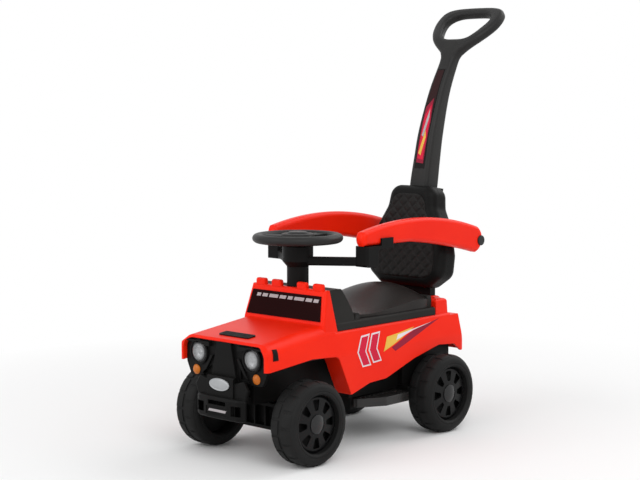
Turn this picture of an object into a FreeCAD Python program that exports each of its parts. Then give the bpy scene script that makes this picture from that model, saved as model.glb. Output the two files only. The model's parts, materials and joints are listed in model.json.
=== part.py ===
import FreeCAD, Part
import math
import os

# A child's push car: a moulded body on four wheels, a steering wheel that turns the front wheels,
# a lidded seat over a storage bin, a backrest with swing-up guard arms, and a push handle.
# Millimetres. X points forward, Y to the car's left, Z up from the ground. Lengths along X are
# measured from midway between the axles; the finished parts are then moved so that the middle of
# the whole car stands at the origin.

V = FreeCAD.Vector

# Fits and walls
wall = 3.0
overrun = 6.0
seat_gap = 0.3
running_gap = 0.05

# Wheels
wheel_radius = 75.0
wheel_width = 55.0
wheel_overhang = 9.5
wheelbase = 372.0
tyre_round = 14.0
groove_count = 18
groove_width = 6.0
groove_depth = 2.2
groove_length = 18.0
rim_radius = 52.0
bead_step = 3.0
web_thickness = 6.0
hub_radius = 16.0
hub_inner_reach = 24.0
hub_outer_reach = 9.0
axle_radius = 5.0
axle_end_reach = 16.0
nut_radius = 9.0
nut_thickness = 3.0
nut_gap = 0.6

# Wheel cover and hub cap
cover_lip = 5.0
cover_edge_y = 15.0
cover_hub_y = 20.0
cover_hub_radius = 18.0
cover_hole_radius = 14.0
cover_thickness = 2.6
window_count = 8
window_inner_share = 0.47
window_outer_share = 0.84
window_inner_half_share = 0.075
window_outer_half_share = 0.17
window_round_share = 0.05
cap_radius = 17.0
cap_rise = 3.6
cap_edge = 1.4
cap_spigot = 5.0
cap_spigot_wall = 3.0

# Front axle, knuckles and steering linkage
kingpin_inset = 51.5
kingpin_radius = 4.0
kingpin_head_radius = 6.5
kingpin_head = 2.5
barrel_radius = 10.0
beam_low_z = 52.0
beam_high_z = 100.0
beam_half_depth = 13.0
beam_inset = 16.0
beam_flange = 6.0
beam_web = 5.0
beam_bays = 4
beam_rib = 3.0
ear_thickness = 8.0
pad_radius = 9.0
pad_inset = 18.0
stub_collar_radius = 9.0
steer_arm_reach = 40.0
steer_arm_width = 13.0
steer_arm_thickness = 7.0
steer_arm_root_share = 0.8
link_pin_radius = 3.0
link_pin_end = 2.2
tie_thickness = 4.0
tie_width = 16.0
steer_angle = 22.0
pitman_thickness = 6.0
pitman_boss_radius = 10.0

# Steering column and wheel
column_x = 86.0
shaft_radius = 5.0
sleeve_radius = 20.0
sleeve_height = 36.0
sleeve_wall = 3.5
sleeve_foot = 5.0
spigot_radius = 11.0
spigot_depth = 14.0
bowl_radius = 28.5
bowl_shoulder_rise = 10.0
bowl_height = 37.0
bowl_recess = 10.0
bowl_spigot = 12.0
grip_radius = 75.0
grip_section = 8.5
grip_lift = 15.0
spoke_count = 3
spoke_half_width = 13.0
spoke_thickness = 9.0
spoke_round = 3.0
hub_cup_radius = 31.0
hub_cup_lift = 4.0
hub_cup_height = 20.0
hub_cup_round = 5.0
hub_neck_radius = 11.0
hub_neck_sink = 7.0
button_radius = 19.0
button_depth = 7.0
button_rise = 3.0
button_edge_rise = 1.0
button_crown_share = 0.8
button_travel = 3.0
unit_radius = 17.0
unit_height = 6.0

# Body shell
body_half_width = 112.0
belt_inset = 7.0
shoulder_z = 180.0
shoulder_round = 40.0
belt_z = 223.0
belt_round = 7.0
hood_round = 24.0
nose_round = 12.0
nose_corner_round = 8.0
nose_x = 277.0
nose_top_z = 209.0
hood_front_setback = 9.0
hood_front_z = 219.0
screen_base_x = 127.0
screen_base_z = 237.0
hood_back_x = 98.0
screen_top_x = 112.0
screen_top_z = 297.0
screen_top_inset = 12.0
screen_foot_inset = 1.0
screen_round = 6.0
ledge_depth = 11.0
pillar_foot_x = 91.0
pillar_opening = 34.0
cabin_front_x = 112.0
deck_z = 219.0
tail_deck_x = -258.0
tail_waist_x = -262.0
tail_waist_z = 182.0
tail_lip_x = -276.0
tail_low_z = 147.0
tail_round = 18.0
bump_front_x = -197.0
bump_back_x = -234.0
bump_top_z = 252.0
bump_inset = 6.0
bump_lean = 4.0
bump_round = 7.0
socket_half_width = 66.0
socket_back_x = -255.0
stud_y_inner = 32.0
stud_y_outer = 72.0
stud_half_width = 12.0
stud_height = 11.0
stud_round = 4.0
seat_hole_front_x = 92.0
seat_hole_back_x = -186.0
seat_hole_inset = 16.0
boss_radius = 6.0
boss_inset = 14.0
front_boss_x = 205.0
middle_boss_x = -30.0
rear_boss_x = -238.0
screw_radius = 2.0
screw_depth = 12.0
screw_head_radius = 4.5
screw_head = 2.6

# Lower edge of the body's sides
arch_front_z = 172.0
arch_top_x = 165.0
arch_top_z = 183.0
arch_back_x = 98.0
arch_back_z = 179.0
sill_tip_x = 63.0
sill_tip_z = 105.0
sill_front_x = 12.0
sill_front_z = 120.0
sill_back_x = -34.0
sill_back_z = 122.0
rear_arch_front_x = -116.0
rear_arch_front_z = 149.0
rear_arch_top_x = -190.0
rear_arch_top_z = 166.0
rear_arch_back_x = -238.0
rear_arch_back_z = 162.0
tail_corner_x = -258.0
lower_round = 14.0
lower_point_round = 3.5
arch_wall_depth = 36.0

# Front panel, lamps and bumper
fascia_setback = 16.0
fascia_inset = 10.0
fascia_top_z = 214.0
fascia_low_z = 145.0
fascia_thickness = 7.0
fascia_round = 20.0
fascia_low_inset = 12.0
fascia_low_round = 10.0
fascia_side_z = 170.0
lamp_inset = 35.0
lamp_z = 190.0
lamp_radius = 19.0
lamp_depth = 5.0
lamp_floor_share = 0.4
lamp_mouth_share = 0.9
bezel_width = 3.5
bezel_rise = 4.5
lens_rise = 3.5
lens_edge = 1.2
amber_inset = 26.0
amber_z = 157.0
amber_radius = 9.0
amber_rise = 4.0
brow_rise = 8.0
brow_inner_share = 0.353
brow_inner_z = 203.0
brow_outer_z = 209.5
snout_rise = 6.0
snout_top_share = 0.167
snout_low_share = 0.314
rib_rise = 4.0
rib_width = 6.0
rib_low_share = 0.549
rib_high_share = 0.295
rib_high_z = 188.0
vent_depth = 4.0
vent_inner_share = 0.353
vent_outer_share = 0.588
vent_low_z = 152.0
vent_high_z = 170.0
bumper_gap = 2.0
bumper_depth = 22.0
bumper_end_reach = 9.0
bumper_half_width = 64.0
bumper_core_half = 50.0
bumper_low_z = 80.0
bumper_high_z = 120.0
bumper_round = 6.0
bumper_tip_round = 4.0
bumper_corner_round = 20.0
bridge_half_width = 33.0
bridge_depth = 9.7
bridge_top_z = 155.0
cheek_depth = 7.0
cheek_round = 3.0
cheek_foot_y = 60.0
cheek_wide_y = 66.0
cheek_wide_z = 136.0
cheek_top_y = 55.0
cheek_inner_z = 145.0
mouth_half_width = 22.0
mouth_low_z = 105.5
mouth_high_z = 113.0
mouth_depth = 8.0
horn_y = 40.0
horn_half_width = 10.0
horn_low_z = 110.0
slot_inner_y = 34.0
slot_outer_y = 54.0
slot_low_z = 90.0
slot_high_z = 108.0
plate_half_width = 28.0
plate_low_z = 88.0
plate_high_z = 102.0
plate_recess = 1.5
badge_z = 141.0
badge_half_width = 25.0
badge_half_height = 11.0
badge_thickness = 2.4

# Inserts
hood_vent_x = 241.0
hood_vent_length = 20.0
hood_vent_half_width = 38.0
hood_vent_thickness = 2.4
hood_vent_round = 4.0
hood_slat_count = 4
hood_slat_width = 2.0
hood_slat_depth = 1.2
side_vent_x = 256.0
side_vent_low_z = 192.0
side_vent_high_z = 211.0
side_vent_length = 13.0
side_vent_lean = 3.0
side_vent_thickness = 1.2
panel_top_share = 0.83
panel_low_share = 0.1
panel_top_inset = 7.0
panel_low_inset = 11.0
panel_thickness = 1.6

# Underbody
keel_inset = 12.0
keel_back_x = 28.0
keel_floor_z = 108.0
keel_rim_z = 183.0
tub_clearance = 4.0
tail_tub_step = 12.0
tub_back_x = -254.0
tub_floor_z = 88.0
tub_rim_z = 170.0
keel_rim_back_x = 103.0
tub_rim_front_x = 60.0
tub_rim_back_x = -260.0
hanger_half_length = 15.0
hanger_width = 13.0
hanger_low_z = 62.0
column_boss_radius = 12.0
column_boss_height = 16.0
rail_thickness = 5.0
rail_lip = 5.0
rail_lip_thickness = 3.4

# Foot rests
board_front_x = 18.0
board_wheel_gap = 4.0
board_inner_y = 8.0
board_reach = 26.0
board_taper_x = -34.0
board_taper = 28.0
board_low_z = 70.0
board_round = 10.0
tread_count = 9
tread_width = 3.0
tread_height = 1.4

# Seat
coaming_inset = 3.0
coaming_back_x = -191.0
coaming_top_z = 238.0
coaming_round = 5.0
well_front_x = 20.0
well_back_x = -170.0
well_inset = 16.0
skirt_depth = 8.0
cowl_top_back_x = 70.0
cowl_mid_x = 53.5
cowl_foot_x = 41.0
cowl_foot_share = 0.135
riser_front_x = -178.6
riser_top_z = 260.0
riser_inset = 10.0
riser_round = 5.0
hinge_x = 33.5
hinge_z = 244.7
hinge_radius = 6.0
hinge_pin_radius = 2.5
hinge_pin_length = 14.0
hinge_ear_inset = 9.0
hinge_ear_width = 7.0
lid_base_z = 238.4
lid_back_x = -177.5
lid_ear_gap = 1.4
lid_mid_inset = 5.0
lid_back_inset = 9.0
lid_wall = 3.5
dip_x = -12.0
dip_shoulder_z = 244.0
dip_crown_z = 248.5
slope_x = -48.0
slope_shoulder_z = 246.5
slope_crown_z = 256.0
rise_x = -92.0
rise_shoulder_z = 251.0
rise_crown_z = 269.0
crest_x = -145.0
crest_shoulder_z = 256.0
crest_crown_z = 282.0
lid_back_shoulder_z = 254.0
lid_back_crown_z = 276.0
bin_wall = 2.6
bin_rim = 8.0
bin_round = 12.0

# Backrest
back_x = -208.0
back_low_z = 271.0
back_lean = 8.5
back_depth = 56.0
back_split = 24.0
back_height = 200.0
back_round = 18.0
back_foot_half = 60.0
back_hip_half = 95.0
back_hip_z = 26.0
back_side_z = 68.0
back_shoulder_half = 80.0
back_shoulder_z = 122.0
back_neck_half = 60.0
back_neck_z = 158.0
back_top_half = 54.0
back_corner_round = 24.0
tongue_front_x = -231.0
tongue_back_x = -247.0
tongue_half_width = 57.0
tongue_low_z = 176.0
tongue_top_z = 284.0
core_half_width = 24.0
bulge_half_width = 31.0
bulge_low = 62.0
bulge_round = 8.0

# Guard arms and their carrier
pivot_x = -305.0
pivot_z = 361.0
arm_inner_y = 100.0
arm_width = 24.0
arm_round = 9.0
arm_rear_top_x = -300.0
arm_heel_rise = 28.0
arm_rear_end_x = -315.0
arm_rear_low_x = -295.0
arm_heel_drop = 23.0
arm_crown_x = -110.0
arm_crown_rise = 22.0
arm_front_x = 38.0
arm_front_lift = 3.0
arm_front_height = 26.0
arm_nose = 5.0
arm_flat_x = -95.0
arm_waist_x = -198.0
arm_waist_rise = 3.0
bolt_radius = 4.0
bolt_head_radius = 7.0
bolt_head = 3.6
bolt_sink = 5.0
bolt_grip = 18.0
arm_cap_radius = 10.0
arm_cap_height = 3.0
carrier_radius = 10.0
carrier_wall = 3.0
saddle_half_width = 27.0
saddle_half_height = 15.0

# Front guard
wing_rise = 3.0
wing_height = 16.0
wing_thickness = 15.0
wing_round = 4.0
wing_root_y = 18.0
wing_end_x = 24.0
wing_end_y = 106.0
cradle_front_x = 38.0
cradle_block_x = 7.0
cradle_back_x = -35.0
cradle_drop = 1.0
cradle_lip = 6.0
cradle_round = 4.5
tab_front_x = -2.0
tab_height = 13.0
tab_thickness = 3.2

# Push handle
base_x = -280.0
base_z = 467.0
base_width = 43.0
base_depth = 43.0
stem_x = -290.0
stem_z = 519.0
stem_width = 40.5
stem_depth = 41.0
stem_tilt = 11.0
low_x = -302.0
low_z = 573.0
low_width = 38.0
low_depth = 39.0
low_tilt = 14.0
high_x = -328.0
high_z = 650.0
high_width = 32.0
high_depth = 33.0
high_tilt = 24.0
neck_x = -357.0
neck_z = 708.0
neck_width = 27.0
neck_depth = 28.0
neck_tilt = 30.0
collar_x = -366.5
collar_z = 731.0
collar_width = 40.0
collar_depth = 25.0
collar_tilt = 38.0
root_width = 80.0
root_depth = 20.0
shaft_corner_share = 0.2
tang_half_width = 19.0
tang_front = 30.0
tang_back = 60.0
tang_low = 96.0
grip_x = -382.0
grip_low_z = 757.0
grip_tilt = 50.3
grip_thickness = 22.0
grip_round = 8.0
grip_bar = 22.0
grip_low_half = 46.0
grip_wide_half = 76.0
grip_wide_rise = 46.0
grip_top_half = 72.0
grip_top_rise = 99.0
hole_low_half = 40.0
hole_wide_half = 52.0
hole_wide_rise = 48.0
hole_top_half = 50.0
hole_top_rise = 76.0
grip_corner = 30.0
hole_corner = 20.0
decal_low_share = 0.06
decal_high_share = 0.96
decal_width_share = 0.62
decal_recess = 1.2
decal_thickness = 1.0
lock_height = 150.0
lock_radius = 7.0
lock_depth = 9.0
lock_rise = 2.5
lock_travel = 3.0

half_base = wheelbase / 2
axle_z = wheel_radius
half_track = body_half_width + wheel_overhang

# Widths that follow the body's
belt_half_width = body_half_width - belt_inset
bump_half_width = belt_half_width - bump_inset
screen_foot_half_width = belt_half_width - screen_foot_inset
screen_top_half_width = belt_half_width - screen_top_inset
panel_top_half = screen_top_half_width - panel_top_inset
panel_low_half = screen_foot_half_width - panel_low_inset
kingpin_y = half_track - kingpin_inset
beam_half_length = kingpin_y - beam_inset
pad_y = beam_half_length - pad_inset
keel_half_width = kingpin_y - keel_inset
fascia_half_width = body_half_width - fascia_inset
brow_inner_y = brow_inner_share * fascia_half_width
snout_top_half = snout_top_share * fascia_half_width
snout_low_half = snout_low_share * fascia_half_width
rib_low_y = rib_low_share * fascia_half_width
rib_high_y = rib_high_share * fascia_half_width
vent_inner_y = vent_inner_share * fascia_half_width
vent_outer_y = vent_outer_share * fascia_half_width
lamp_y = fascia_half_width - lamp_inset
amber_y = fascia_half_width - amber_inset
boss_y = body_half_width - boss_inset
rim_half_width = body_half_width - wall - 2 * seat_gap
coaming_half_width = belt_half_width - coaming_inset
seat_hole_half_width = coaming_half_width - seat_hole_inset
well_half_width = seat_hole_half_width - well_inset
tub_half_width = well_half_width + tub_clearance
tail_tub_half_width = tub_half_width + tail_tub_step
board_outer_y = tail_tub_half_width + board_reach
board_tip_y = board_outer_y - board_taper
riser_half_width = coaming_half_width - riser_inset
hinge_ear_y = coaming_half_width - hinge_ear_inset
lid_front_half = hinge_ear_y - lid_ear_gap
lid_mid_half = coaming_half_width - lid_mid_inset
lid_back_half = coaming_half_width - lid_back_inset

# Front faces, set back from the nose
hood_front_x = nose_x - hood_front_setback
fascia_back_x = nose_x - fascia_setback
fascia_face_x = fascia_back_x + fascia_thickness
keel_front_x = fascia_back_x - wall - seat_gap
bumper_back_x = fascia_face_x + bumper_gap
bumper_end_x = bumper_back_x + bumper_end_reach
bumper_front_x = bumper_back_x + bumper_depth
bridge_back_x = fascia_face_x + snout_rise + seat_gap
bridge_front_x = bridge_back_x + bridge_depth

# Heights that follow the windscreen's
screen_height = screen_top_z - screen_base_z
panel_top_z = screen_base_z + panel_top_share * screen_height
panel_low_z = screen_base_z + panel_low_share * screen_height
cowl_foot_z = coaming_top_z + cowl_foot_share * (screen_top_z - coaming_top_z)
cowl_mid_z = (screen_top_z + cowl_foot_z) / 2
sleeve_top_z = screen_top_z + sleeve_height
bowl_shoulder_z = sleeve_top_z + bowl_shoulder_rise
bowl_top_z = sleeve_top_z + bowl_height
grip_z = bowl_top_z + grip_lift
hub_cup_low_z = bowl_top_z + hub_cup_lift
hub_cup_top_z = hub_cup_low_z + hub_cup_height
hub_neck_low_z = bowl_top_z - hub_neck_sink
wing_low_z = sleeve_top_z + wing_rise
wing_high_z = wing_low_z + wing_height
cradle_low_z = wing_low_z - cradle_drop
arm_front_low_z = bowl_top_z + arm_front_lift
arm_front_top_z = arm_front_low_z + arm_front_height
arm_rear_top_z = pivot_z + arm_heel_rise
arm_crown_z = (arm_front_top_z + arm_rear_top_z) / 2 + arm_crown_rise
arm_rear_low_z = pivot_z - arm_heel_drop
arm_waist_z = (arm_front_low_z + arm_rear_low_z) / 2 + arm_waist_rise
tab_top_z = arm_front_low_z + tab_height

# Foot rests keep clear of the rear wheels, and the tub widens behind them.
board_back_x = wheel_radius + board_wheel_gap - half_base
tail_tub_front_x = board_back_x - rail_thickness


# Drawing planes: an outline's two numbers become a point in space.
def on_side(x, z):
    return V(x, 0, z)


def on_plan(x, y):
    return V(x, y, 0)


def on_front(y, z):
    return V(0, y, z)


def straight_face(points, place):
    corners = [place(a, b) for a, b in points]
    return Part.Face(Part.makePolygon(corners + corners[:1]))


# A closed outline whose corners carry a rounding radius each.
def round_wire(corners, place):
    count = len(corners)
    turns = []
    for i, (a, b, radius) in enumerate(corners):
        here = V(a, b, 0)
        before = V(corners[i - 1][0], corners[i - 1][1], 0)
        after = V(corners[(i + 1) % count][0], corners[(i + 1) % count][1], 0)
        back = (before - here).normalize()
        ahead = (after - here).normalize()
        half_turn = back.getAngle(ahead) / 2
        reach = radius / math.tan(half_turn)
        inward = back + ahead
        middle = here
        if radius > 0:
            middle = here + inward.normalize() * (radius / math.sin(half_turn) - radius)
        turns.append((here + back * reach, middle, here + ahead * reach, radius))
    edges = []
    for i, (start, middle, end, radius) in enumerate(turns):
        if radius > 0:
            arc = Part.Arc(place(start.x, start.y), place(middle.x, middle.y), place(end.x, end.y))
            edges.append(arc.toShape())
        onward = turns[(i + 1) % count][0]
        edges.append(Part.LineSegment(place(end.x, end.y), place(onward.x, onward.y)).toShape())
    return Part.Wire(edges)


def round_face(corners, place):
    return Part.Face(round_wire(corners, place))


def side_slab(points, y_low, y_high):
    face = straight_face(points, on_side)
    face.translate(V(0, y_low, 0))
    return face.extrude(V(0, y_high - y_low, 0))


def plan_slab(face, z_low, z_high):
    face = face.copy()
    face.translate(V(0, 0, z_low))
    return face.extrude(V(0, 0, z_high - z_low))


def front_slab(face, x_low, x_high):
    face = face.copy()
    face.translate(V(x_low, 0, 0))
    return face.extrude(V(x_high - x_low, 0, 0))


def block(x_low, x_high, y_low, y_high, z_low, z_high):
    return Part.makeBox(x_high - x_low, y_high - y_low, z_high - z_low, V(x_low, y_low, z_low))


def post(radius, x, y, z_low, z_high):
    return Part.makeCylinder(radius, z_high - z_low, V(x, y, z_low))


def cross_rod(radius, x, z, y_low, y_high):
    return Part.makeCylinder(radius, y_high - y_low, V(x, y_low, z), V(0, 1, 0))


def long_rod(radius, y, z, x_low, x_high):
    return Part.makeCylinder(radius, x_high - x_low, V(x_low, y, z), V(1, 0, 0))


def turned(points, place_x, place_y):
    face = straight_face(points, on_side)
    solid = face.revolve(V(0, 0, 0), V(0, 0, 1), 360)
    solid.translate(V(place_x, place_y, 0))
    return solid


def mirrored(shape):
    return shape.mirror(V(0, 0, 0), V(0, 1, 0))


def both_sides(shape):
    return [shape, mirrored(shape)]


def soften(shape, radius, chosen):
    return shape.makeFillet(radius, [edge for edge in shape.Edges if chosen(edge.BoundBox)])


def both_halves(half):
    return half + [(-a, b, radius) for a, b, radius in reversed(half)]


# Wheels are drawn about the Y axis with their outer face towards +Y.
def wheel():
    half = wheel_width / 2
    bore = axle_radius + running_gap
    profile = [(bore, -hub_inner_reach, 0), (hub_radius, -hub_inner_reach, 0), (hub_radius, 0, 0),
               (rim_radius, 0, 0), (rim_radius, bead_step - half, 0), (rim_radius + bead_step, -half, 0),
               (wheel_radius, -half, tyre_round), (wheel_radius, half, tyre_round),
               (rim_radius + bead_step, half, 0), (rim_radius, half - bead_step, 0),
               (rim_radius, web_thickness, 0), (hub_radius, web_thickness, 0),
               (hub_radius, hub_outer_reach, 0), (bore, hub_outer_reach, 0)]
    solid = round_face(profile, on_plan).revolve(V(0, 0, 0), V(0, 1, 0), 360)
    grooves = []
    for k in range(groove_count):
        for side in (-1, 1):
            start = half - groove_length if side > 0 else -half - overrun
            groove = Part.makeBox(overrun, groove_length + overrun, groove_width,
                                  V(wheel_radius - groove_depth, start, -groove_width / 2))
            step = k + (side + 1) / 4
            groove.rotate(V(0, 0, 0), V(0, 1, 0), 360 * step / groove_count)
            grooves.append(groove)
    return solid.cut(Part.makeCompound(grooves))


def wheel_cover():
    outer = rim_radius - seat_gap
    inner = outer - cover_lip
    profile = [(outer - cover_thickness, web_thickness, 0), (outer, web_thickness, 0),
               (outer, cover_edge_y, 0),
               (inner, cover_edge_y + cover_thickness, 0), (cover_hub_radius, cover_hub_y, 0),
               (cover_hole_radius, cover_hub_y, 0), (cover_hole_radius, cover_hub_y - cover_thickness, 0),
               (cover_hub_radius, cover_hub_y - cover_thickness, 0), (inner, cover_edge_y, 0),
               (outer - cover_thickness, cover_edge_y - cover_thickness, 0)]
    solid = round_face(profile, on_plan).revolve(V(0, 0, 0), V(0, 1, 0), 360)
    corner = window_round_share * outer
    shape = [(window_inner_share * outer, -window_inner_half_share * outer, corner),
             (window_outer_share * outer, -window_outer_half_share * outer, corner),
             (window_outer_share * outer, window_outer_half_share * outer, corner),
             (window_inner_share * outer, window_inner_half_share * outer, corner)]
    face = round_face(shape, on_side)
    window = face.extrude(V(0, cover_hub_y + overrun, 0))
    windows = []
    for k in range(window_count):
        copy = window.copy()
        copy.rotate(V(0, 0, 0), V(0, 1, 0), 360 * k / window_count)
        windows.append(copy)
    return solid.cut(Part.makeCompound(windows))


# A shallow domed solid about the X axis: a straight edge, then a cap that is part of a sphere.
def dome_edges(radius, edge, rise):
    ball = (radius ** 2 + rise ** 2) / (2 * rise)
    half_turn = math.asin(radius / ball) / 2
    middle = V(edge + rise - ball + ball * math.cos(half_turn), ball * math.sin(half_turn), 0)
    return Part.Arc(V(edge, radius, 0), middle, V(edge + rise, 0, 0)).toShape()


def closed_face(path, last_edge):
    edges = [Part.LineSegment(a, b).toShape() for a, b in zip(path, path[1:])]
    return Part.Face(Part.Wire(edges + [last_edge]))


def hub_cap():
    spigot = cover_hole_radius - seat_gap
    hollow = spigot - cap_spigot_wall
    top = cap_edge + cap_rise
    path = [V(top, 0, 0), V(0, 0, 0), V(0, hollow, 0), V(-cap_spigot, hollow, 0), V(-cap_spigot, spigot, 0),
            V(0, spigot, 0), V(0, cap_radius, 0), V(cap_edge, cap_radius, 0)]
    face = closed_face(path, dome_edges(cap_radius, cap_edge, cap_rise))
    cap = face.revolve(V(0, 0, 0), V(1, 0, 0), 360)
    cap.rotate(V(0, 0, 0), V(0, 0, 1), 90)
    cap.translate(V(0, cover_hub_y, 0))
    return cap


def axle_nut():
    low = hub_outer_reach + nut_gap
    nut = Part.makeCylinder(nut_radius, nut_thickness, V(0, low, 0), V(0, 1, 0))
    return nut.cut(Part.makeCylinder(axle_radius + running_gap, nut_thickness, V(0, low, 0), V(0, 1, 0)))


def at_wheel(shape, x, side):
    shape = shape.copy() if side > 0 else mirrored(shape)
    shape.translate(V(x, side * half_track, axle_z))
    return shape


# Front axle: heights of the linkage, stacked from the beam's ears upwards.
barrel_low_z = beam_low_z + ear_thickness + seat_gap
barrel_high_z = beam_high_z - ear_thickness - seat_gap
tie_low_z = barrel_high_z + seat_gap
tie_high_z = tie_low_z + tie_thickness
pitman_low_z = tie_high_z + seat_gap
pitman_high_z = pitman_low_z + pitman_thickness
pin_back = steer_arm_reach * (1 - math.cos(math.radians(steer_angle)))
hub_inner_y = half_track - hub_inner_reach
axle_end_y = half_track + axle_end_reach


def steer_arm(x, y, z_low, z_high, root_radius):
    tip = x - steer_arm_reach
    half = steer_arm_width / 2
    root = steer_arm_root_share * root_radius
    corners = [(x, y - root, 0), (x, y + root, 0), (tip, y + half, 0), (tip, y - half, 0)]
    arm = plan_slab(round_face(corners, on_plan), z_low, z_high)
    return arm.fuse(post(half, tip, y, z_low, z_high))


def knuckle():
    x, y = half_base, kingpin_y
    body = post(barrel_radius, x, y, barrel_low_z, barrel_high_z)
    body = body.fuse(cross_rod(stub_collar_radius, x, axle_z, y, hub_inner_y - nut_gap))
    body = body.fuse(cross_rod(axle_radius, x, axle_z, y, axle_end_y))
    arm_low = barrel_high_z - steer_arm_thickness
    body = body.fuse(steer_arm(x, y, arm_low, barrel_high_z, barrel_radius))
    body = body.fuse(post(link_pin_radius, x - steer_arm_reach, y, arm_low, tie_high_z + link_pin_end))
    return body.cut(post(kingpin_radius + running_gap, x, y, beam_low_z, beam_high_z)).removeSplitter()


def kingpin():
    head_low = beam_high_z
    pin = post(kingpin_radius, half_base, kingpin_y, beam_low_z, head_low + kingpin_head)
    return pin.fuse(post(kingpin_head_radius, half_base, kingpin_y, head_low, head_low + kingpin_head))


def front_axle_beam():
    x = half_base
    depth = beam_half_depth
    beam = block(x - depth, x + depth, -beam_half_length, beam_half_length, beam_low_z, beam_high_z)
    bay = (2 * beam_half_length - (beam_bays + 1) * beam_rib) / beam_bays
    pockets = []
    for k in range(beam_bays):
        y_low = -beam_half_length + beam_rib + k * (bay + beam_rib)
        low, high = beam_low_z + beam_flange, beam_high_z - beam_flange
        pockets.append(block(x + beam_web / 2, x + depth + overrun, y_low, y_low + bay, low, high))
        pockets.append(block(x - depth - overrun, x - beam_web / 2, y_low, y_low + bay, low, high))
    beam = beam.cut(Part.makeCompound(pockets))
    root = beam_half_length - beam_rib
    for side in (-1, 1):
        for z_low in (beam_low_z, beam_high_z - ear_thickness):
            y_low, y_high = sorted((side * root, side * kingpin_y))
            ear = block(x - depth, x + depth, y_low, y_high, z_low, z_low + ear_thickness)
            ear = ear.fuse(post(depth, x, side * kingpin_y, z_low, z_low + ear_thickness))
            bore = post(kingpin_radius + running_gap, x, side * kingpin_y, beam_low_z, beam_high_z)
            beam = beam.fuse(ear.cut(bore))
        beam = beam.fuse(post(pad_radius, x, side * pad_y, beam_high_z, keel_floor_z))
    return beam.removeSplitter()


def tie_rod():
    half = tie_width / 2
    bar_x = half_base - steer_arm_reach
    tail_x = column_x - steer_arm_reach
    end = kingpin_y + half
    tail = tail_x - half
    corners = both_halves([(end, bar_x - half, 0), (end, bar_x + half + pin_back, 0)])
    bar = round_face([(x, y, r) for y, x, r in corners], on_plan)
    bend = half / 2
    neck = round_face([(bar_x, half, 0), (tail, half, bend), (tail, -half, bend), (bar_x, -half, 0)], on_plan)
    plate = plan_slab(bar, tie_low_z, tie_high_z).fuse(plan_slab(neck, tie_low_z, tie_high_z))
    for x, y in ((bar_x, kingpin_y), (bar_x, -kingpin_y), (tail_x, 0)):
        wide = link_pin_radius + seat_gap
        slot = block(x, x + pin_back, y - wide, y + wide, tie_low_z - overrun, tie_high_z + overrun)
        for slot_x in (x, x + pin_back):
            slot = slot.fuse(post(wide, slot_x, y, tie_low_z - overrun, tie_high_z + overrun))
        plate = plate.cut(slot)
    return plate.removeSplitter()


def pitman_arm():
    arm = steer_arm(column_x, 0, pitman_low_z, pitman_high_z, pitman_boss_radius)
    arm = arm.fuse(post(pitman_boss_radius, column_x, 0, pitman_low_z, keel_floor_z - seat_gap))
    arm = arm.fuse(post(link_pin_radius, column_x - steer_arm_reach, 0, tie_low_z - link_pin_end,
                        pitman_high_z))
    return arm.cut(post(shaft_radius + running_gap, column_x, 0, pitman_low_z, keel_floor_z)).removeSplitter()


def steering_shaft():
    return post(shaft_radius, column_x, 0, pitman_low_z, hub_cup_low_z + wall)


# Steering wheel and column
def steering_wheel():
    grip = Part.makeTorus(grip_radius, grip_section, V(column_x, 0, grip_z))
    cup_floor = hub_cup_top_z - button_depth - unit_height
    top = hub_cup_top_z - hub_cup_round
    profile = [(0, hub_neck_low_z), (hub_neck_radius, hub_neck_low_z), (hub_neck_radius, hub_cup_low_z),
               (hub_cup_radius - hub_cup_round, hub_cup_low_z), (hub_cup_radius, grip_z),
               (hub_cup_radius, top),
               (hub_cup_radius - hub_cup_round, hub_cup_top_z), (0, hub_cup_top_z)]
    body = turned(profile, column_x, 0)
    for k in range(spoke_count):
        spoke = block(hub_cup_radius - hub_cup_round, grip_radius, -spoke_half_width, spoke_half_width,
                      grip_z - spoke_thickness / 2, grip_z + spoke_thickness / 2)
        spoke = soften(spoke, spoke_round, lambda box: box.XLength > spoke_thickness)
        spoke.rotate(V(0, 0, 0), V(0, 0, 1), 180 + 360 * k / spoke_count)
        spoke.translate(V(column_x, 0, 0))
        body = body.fuse(spoke)
    body = body.fuse(grip)
    button_low = hub_cup_top_z - button_depth
    body = body.cut(post(button_radius + seat_gap, column_x, 0, button_low, hub_cup_top_z + overrun))
    body = body.cut(post(unit_radius + seat_gap, column_x, 0, cup_floor, hub_cup_top_z))
    return body.cut(post(shaft_radius + running_gap, column_x, 0, hub_neck_low_z - overrun,
                         hub_cup_low_z + wall))


def horn_button():
    low = hub_cup_top_z - button_depth + button_travel + seat_gap
    edge = hub_cup_top_z + button_edge_rise
    crown = hub_cup_top_z + button_rise
    flat = button_crown_share * button_radius
    profile = [(0, low), (button_radius, low), (button_radius, edge), (flat, crown), (0, crown)]
    return turned(profile, column_x, 0)


def sound_unit():
    low = hub_cup_top_z - button_depth - unit_height
    return post(unit_radius, column_x, 0, low, low + unit_height - seat_gap)


def column_sleeve():
    floor = screen_top_z + sleeve_foot
    bore = shaft_radius + running_gap
    foot = screen_top_z - spigot_depth
    inner = sleeve_radius - sleeve_wall
    profile = [(bore, foot), (spigot_radius, foot), (spigot_radius, screen_top_z),
               (sleeve_radius, screen_top_z),
               (sleeve_radius, sleeve_top_z), (inner, sleeve_top_z), (inner, floor), (bore, floor)]
    return turned(profile, column_x, 0)


def is_cradle_edge(box, shelf):
    if box.YLength > cradle_lip:
        return box.ZMax < shelf - wall
    return box.ZLength > cradle_lip and box.XMin > cradle_front_x - wall


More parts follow.
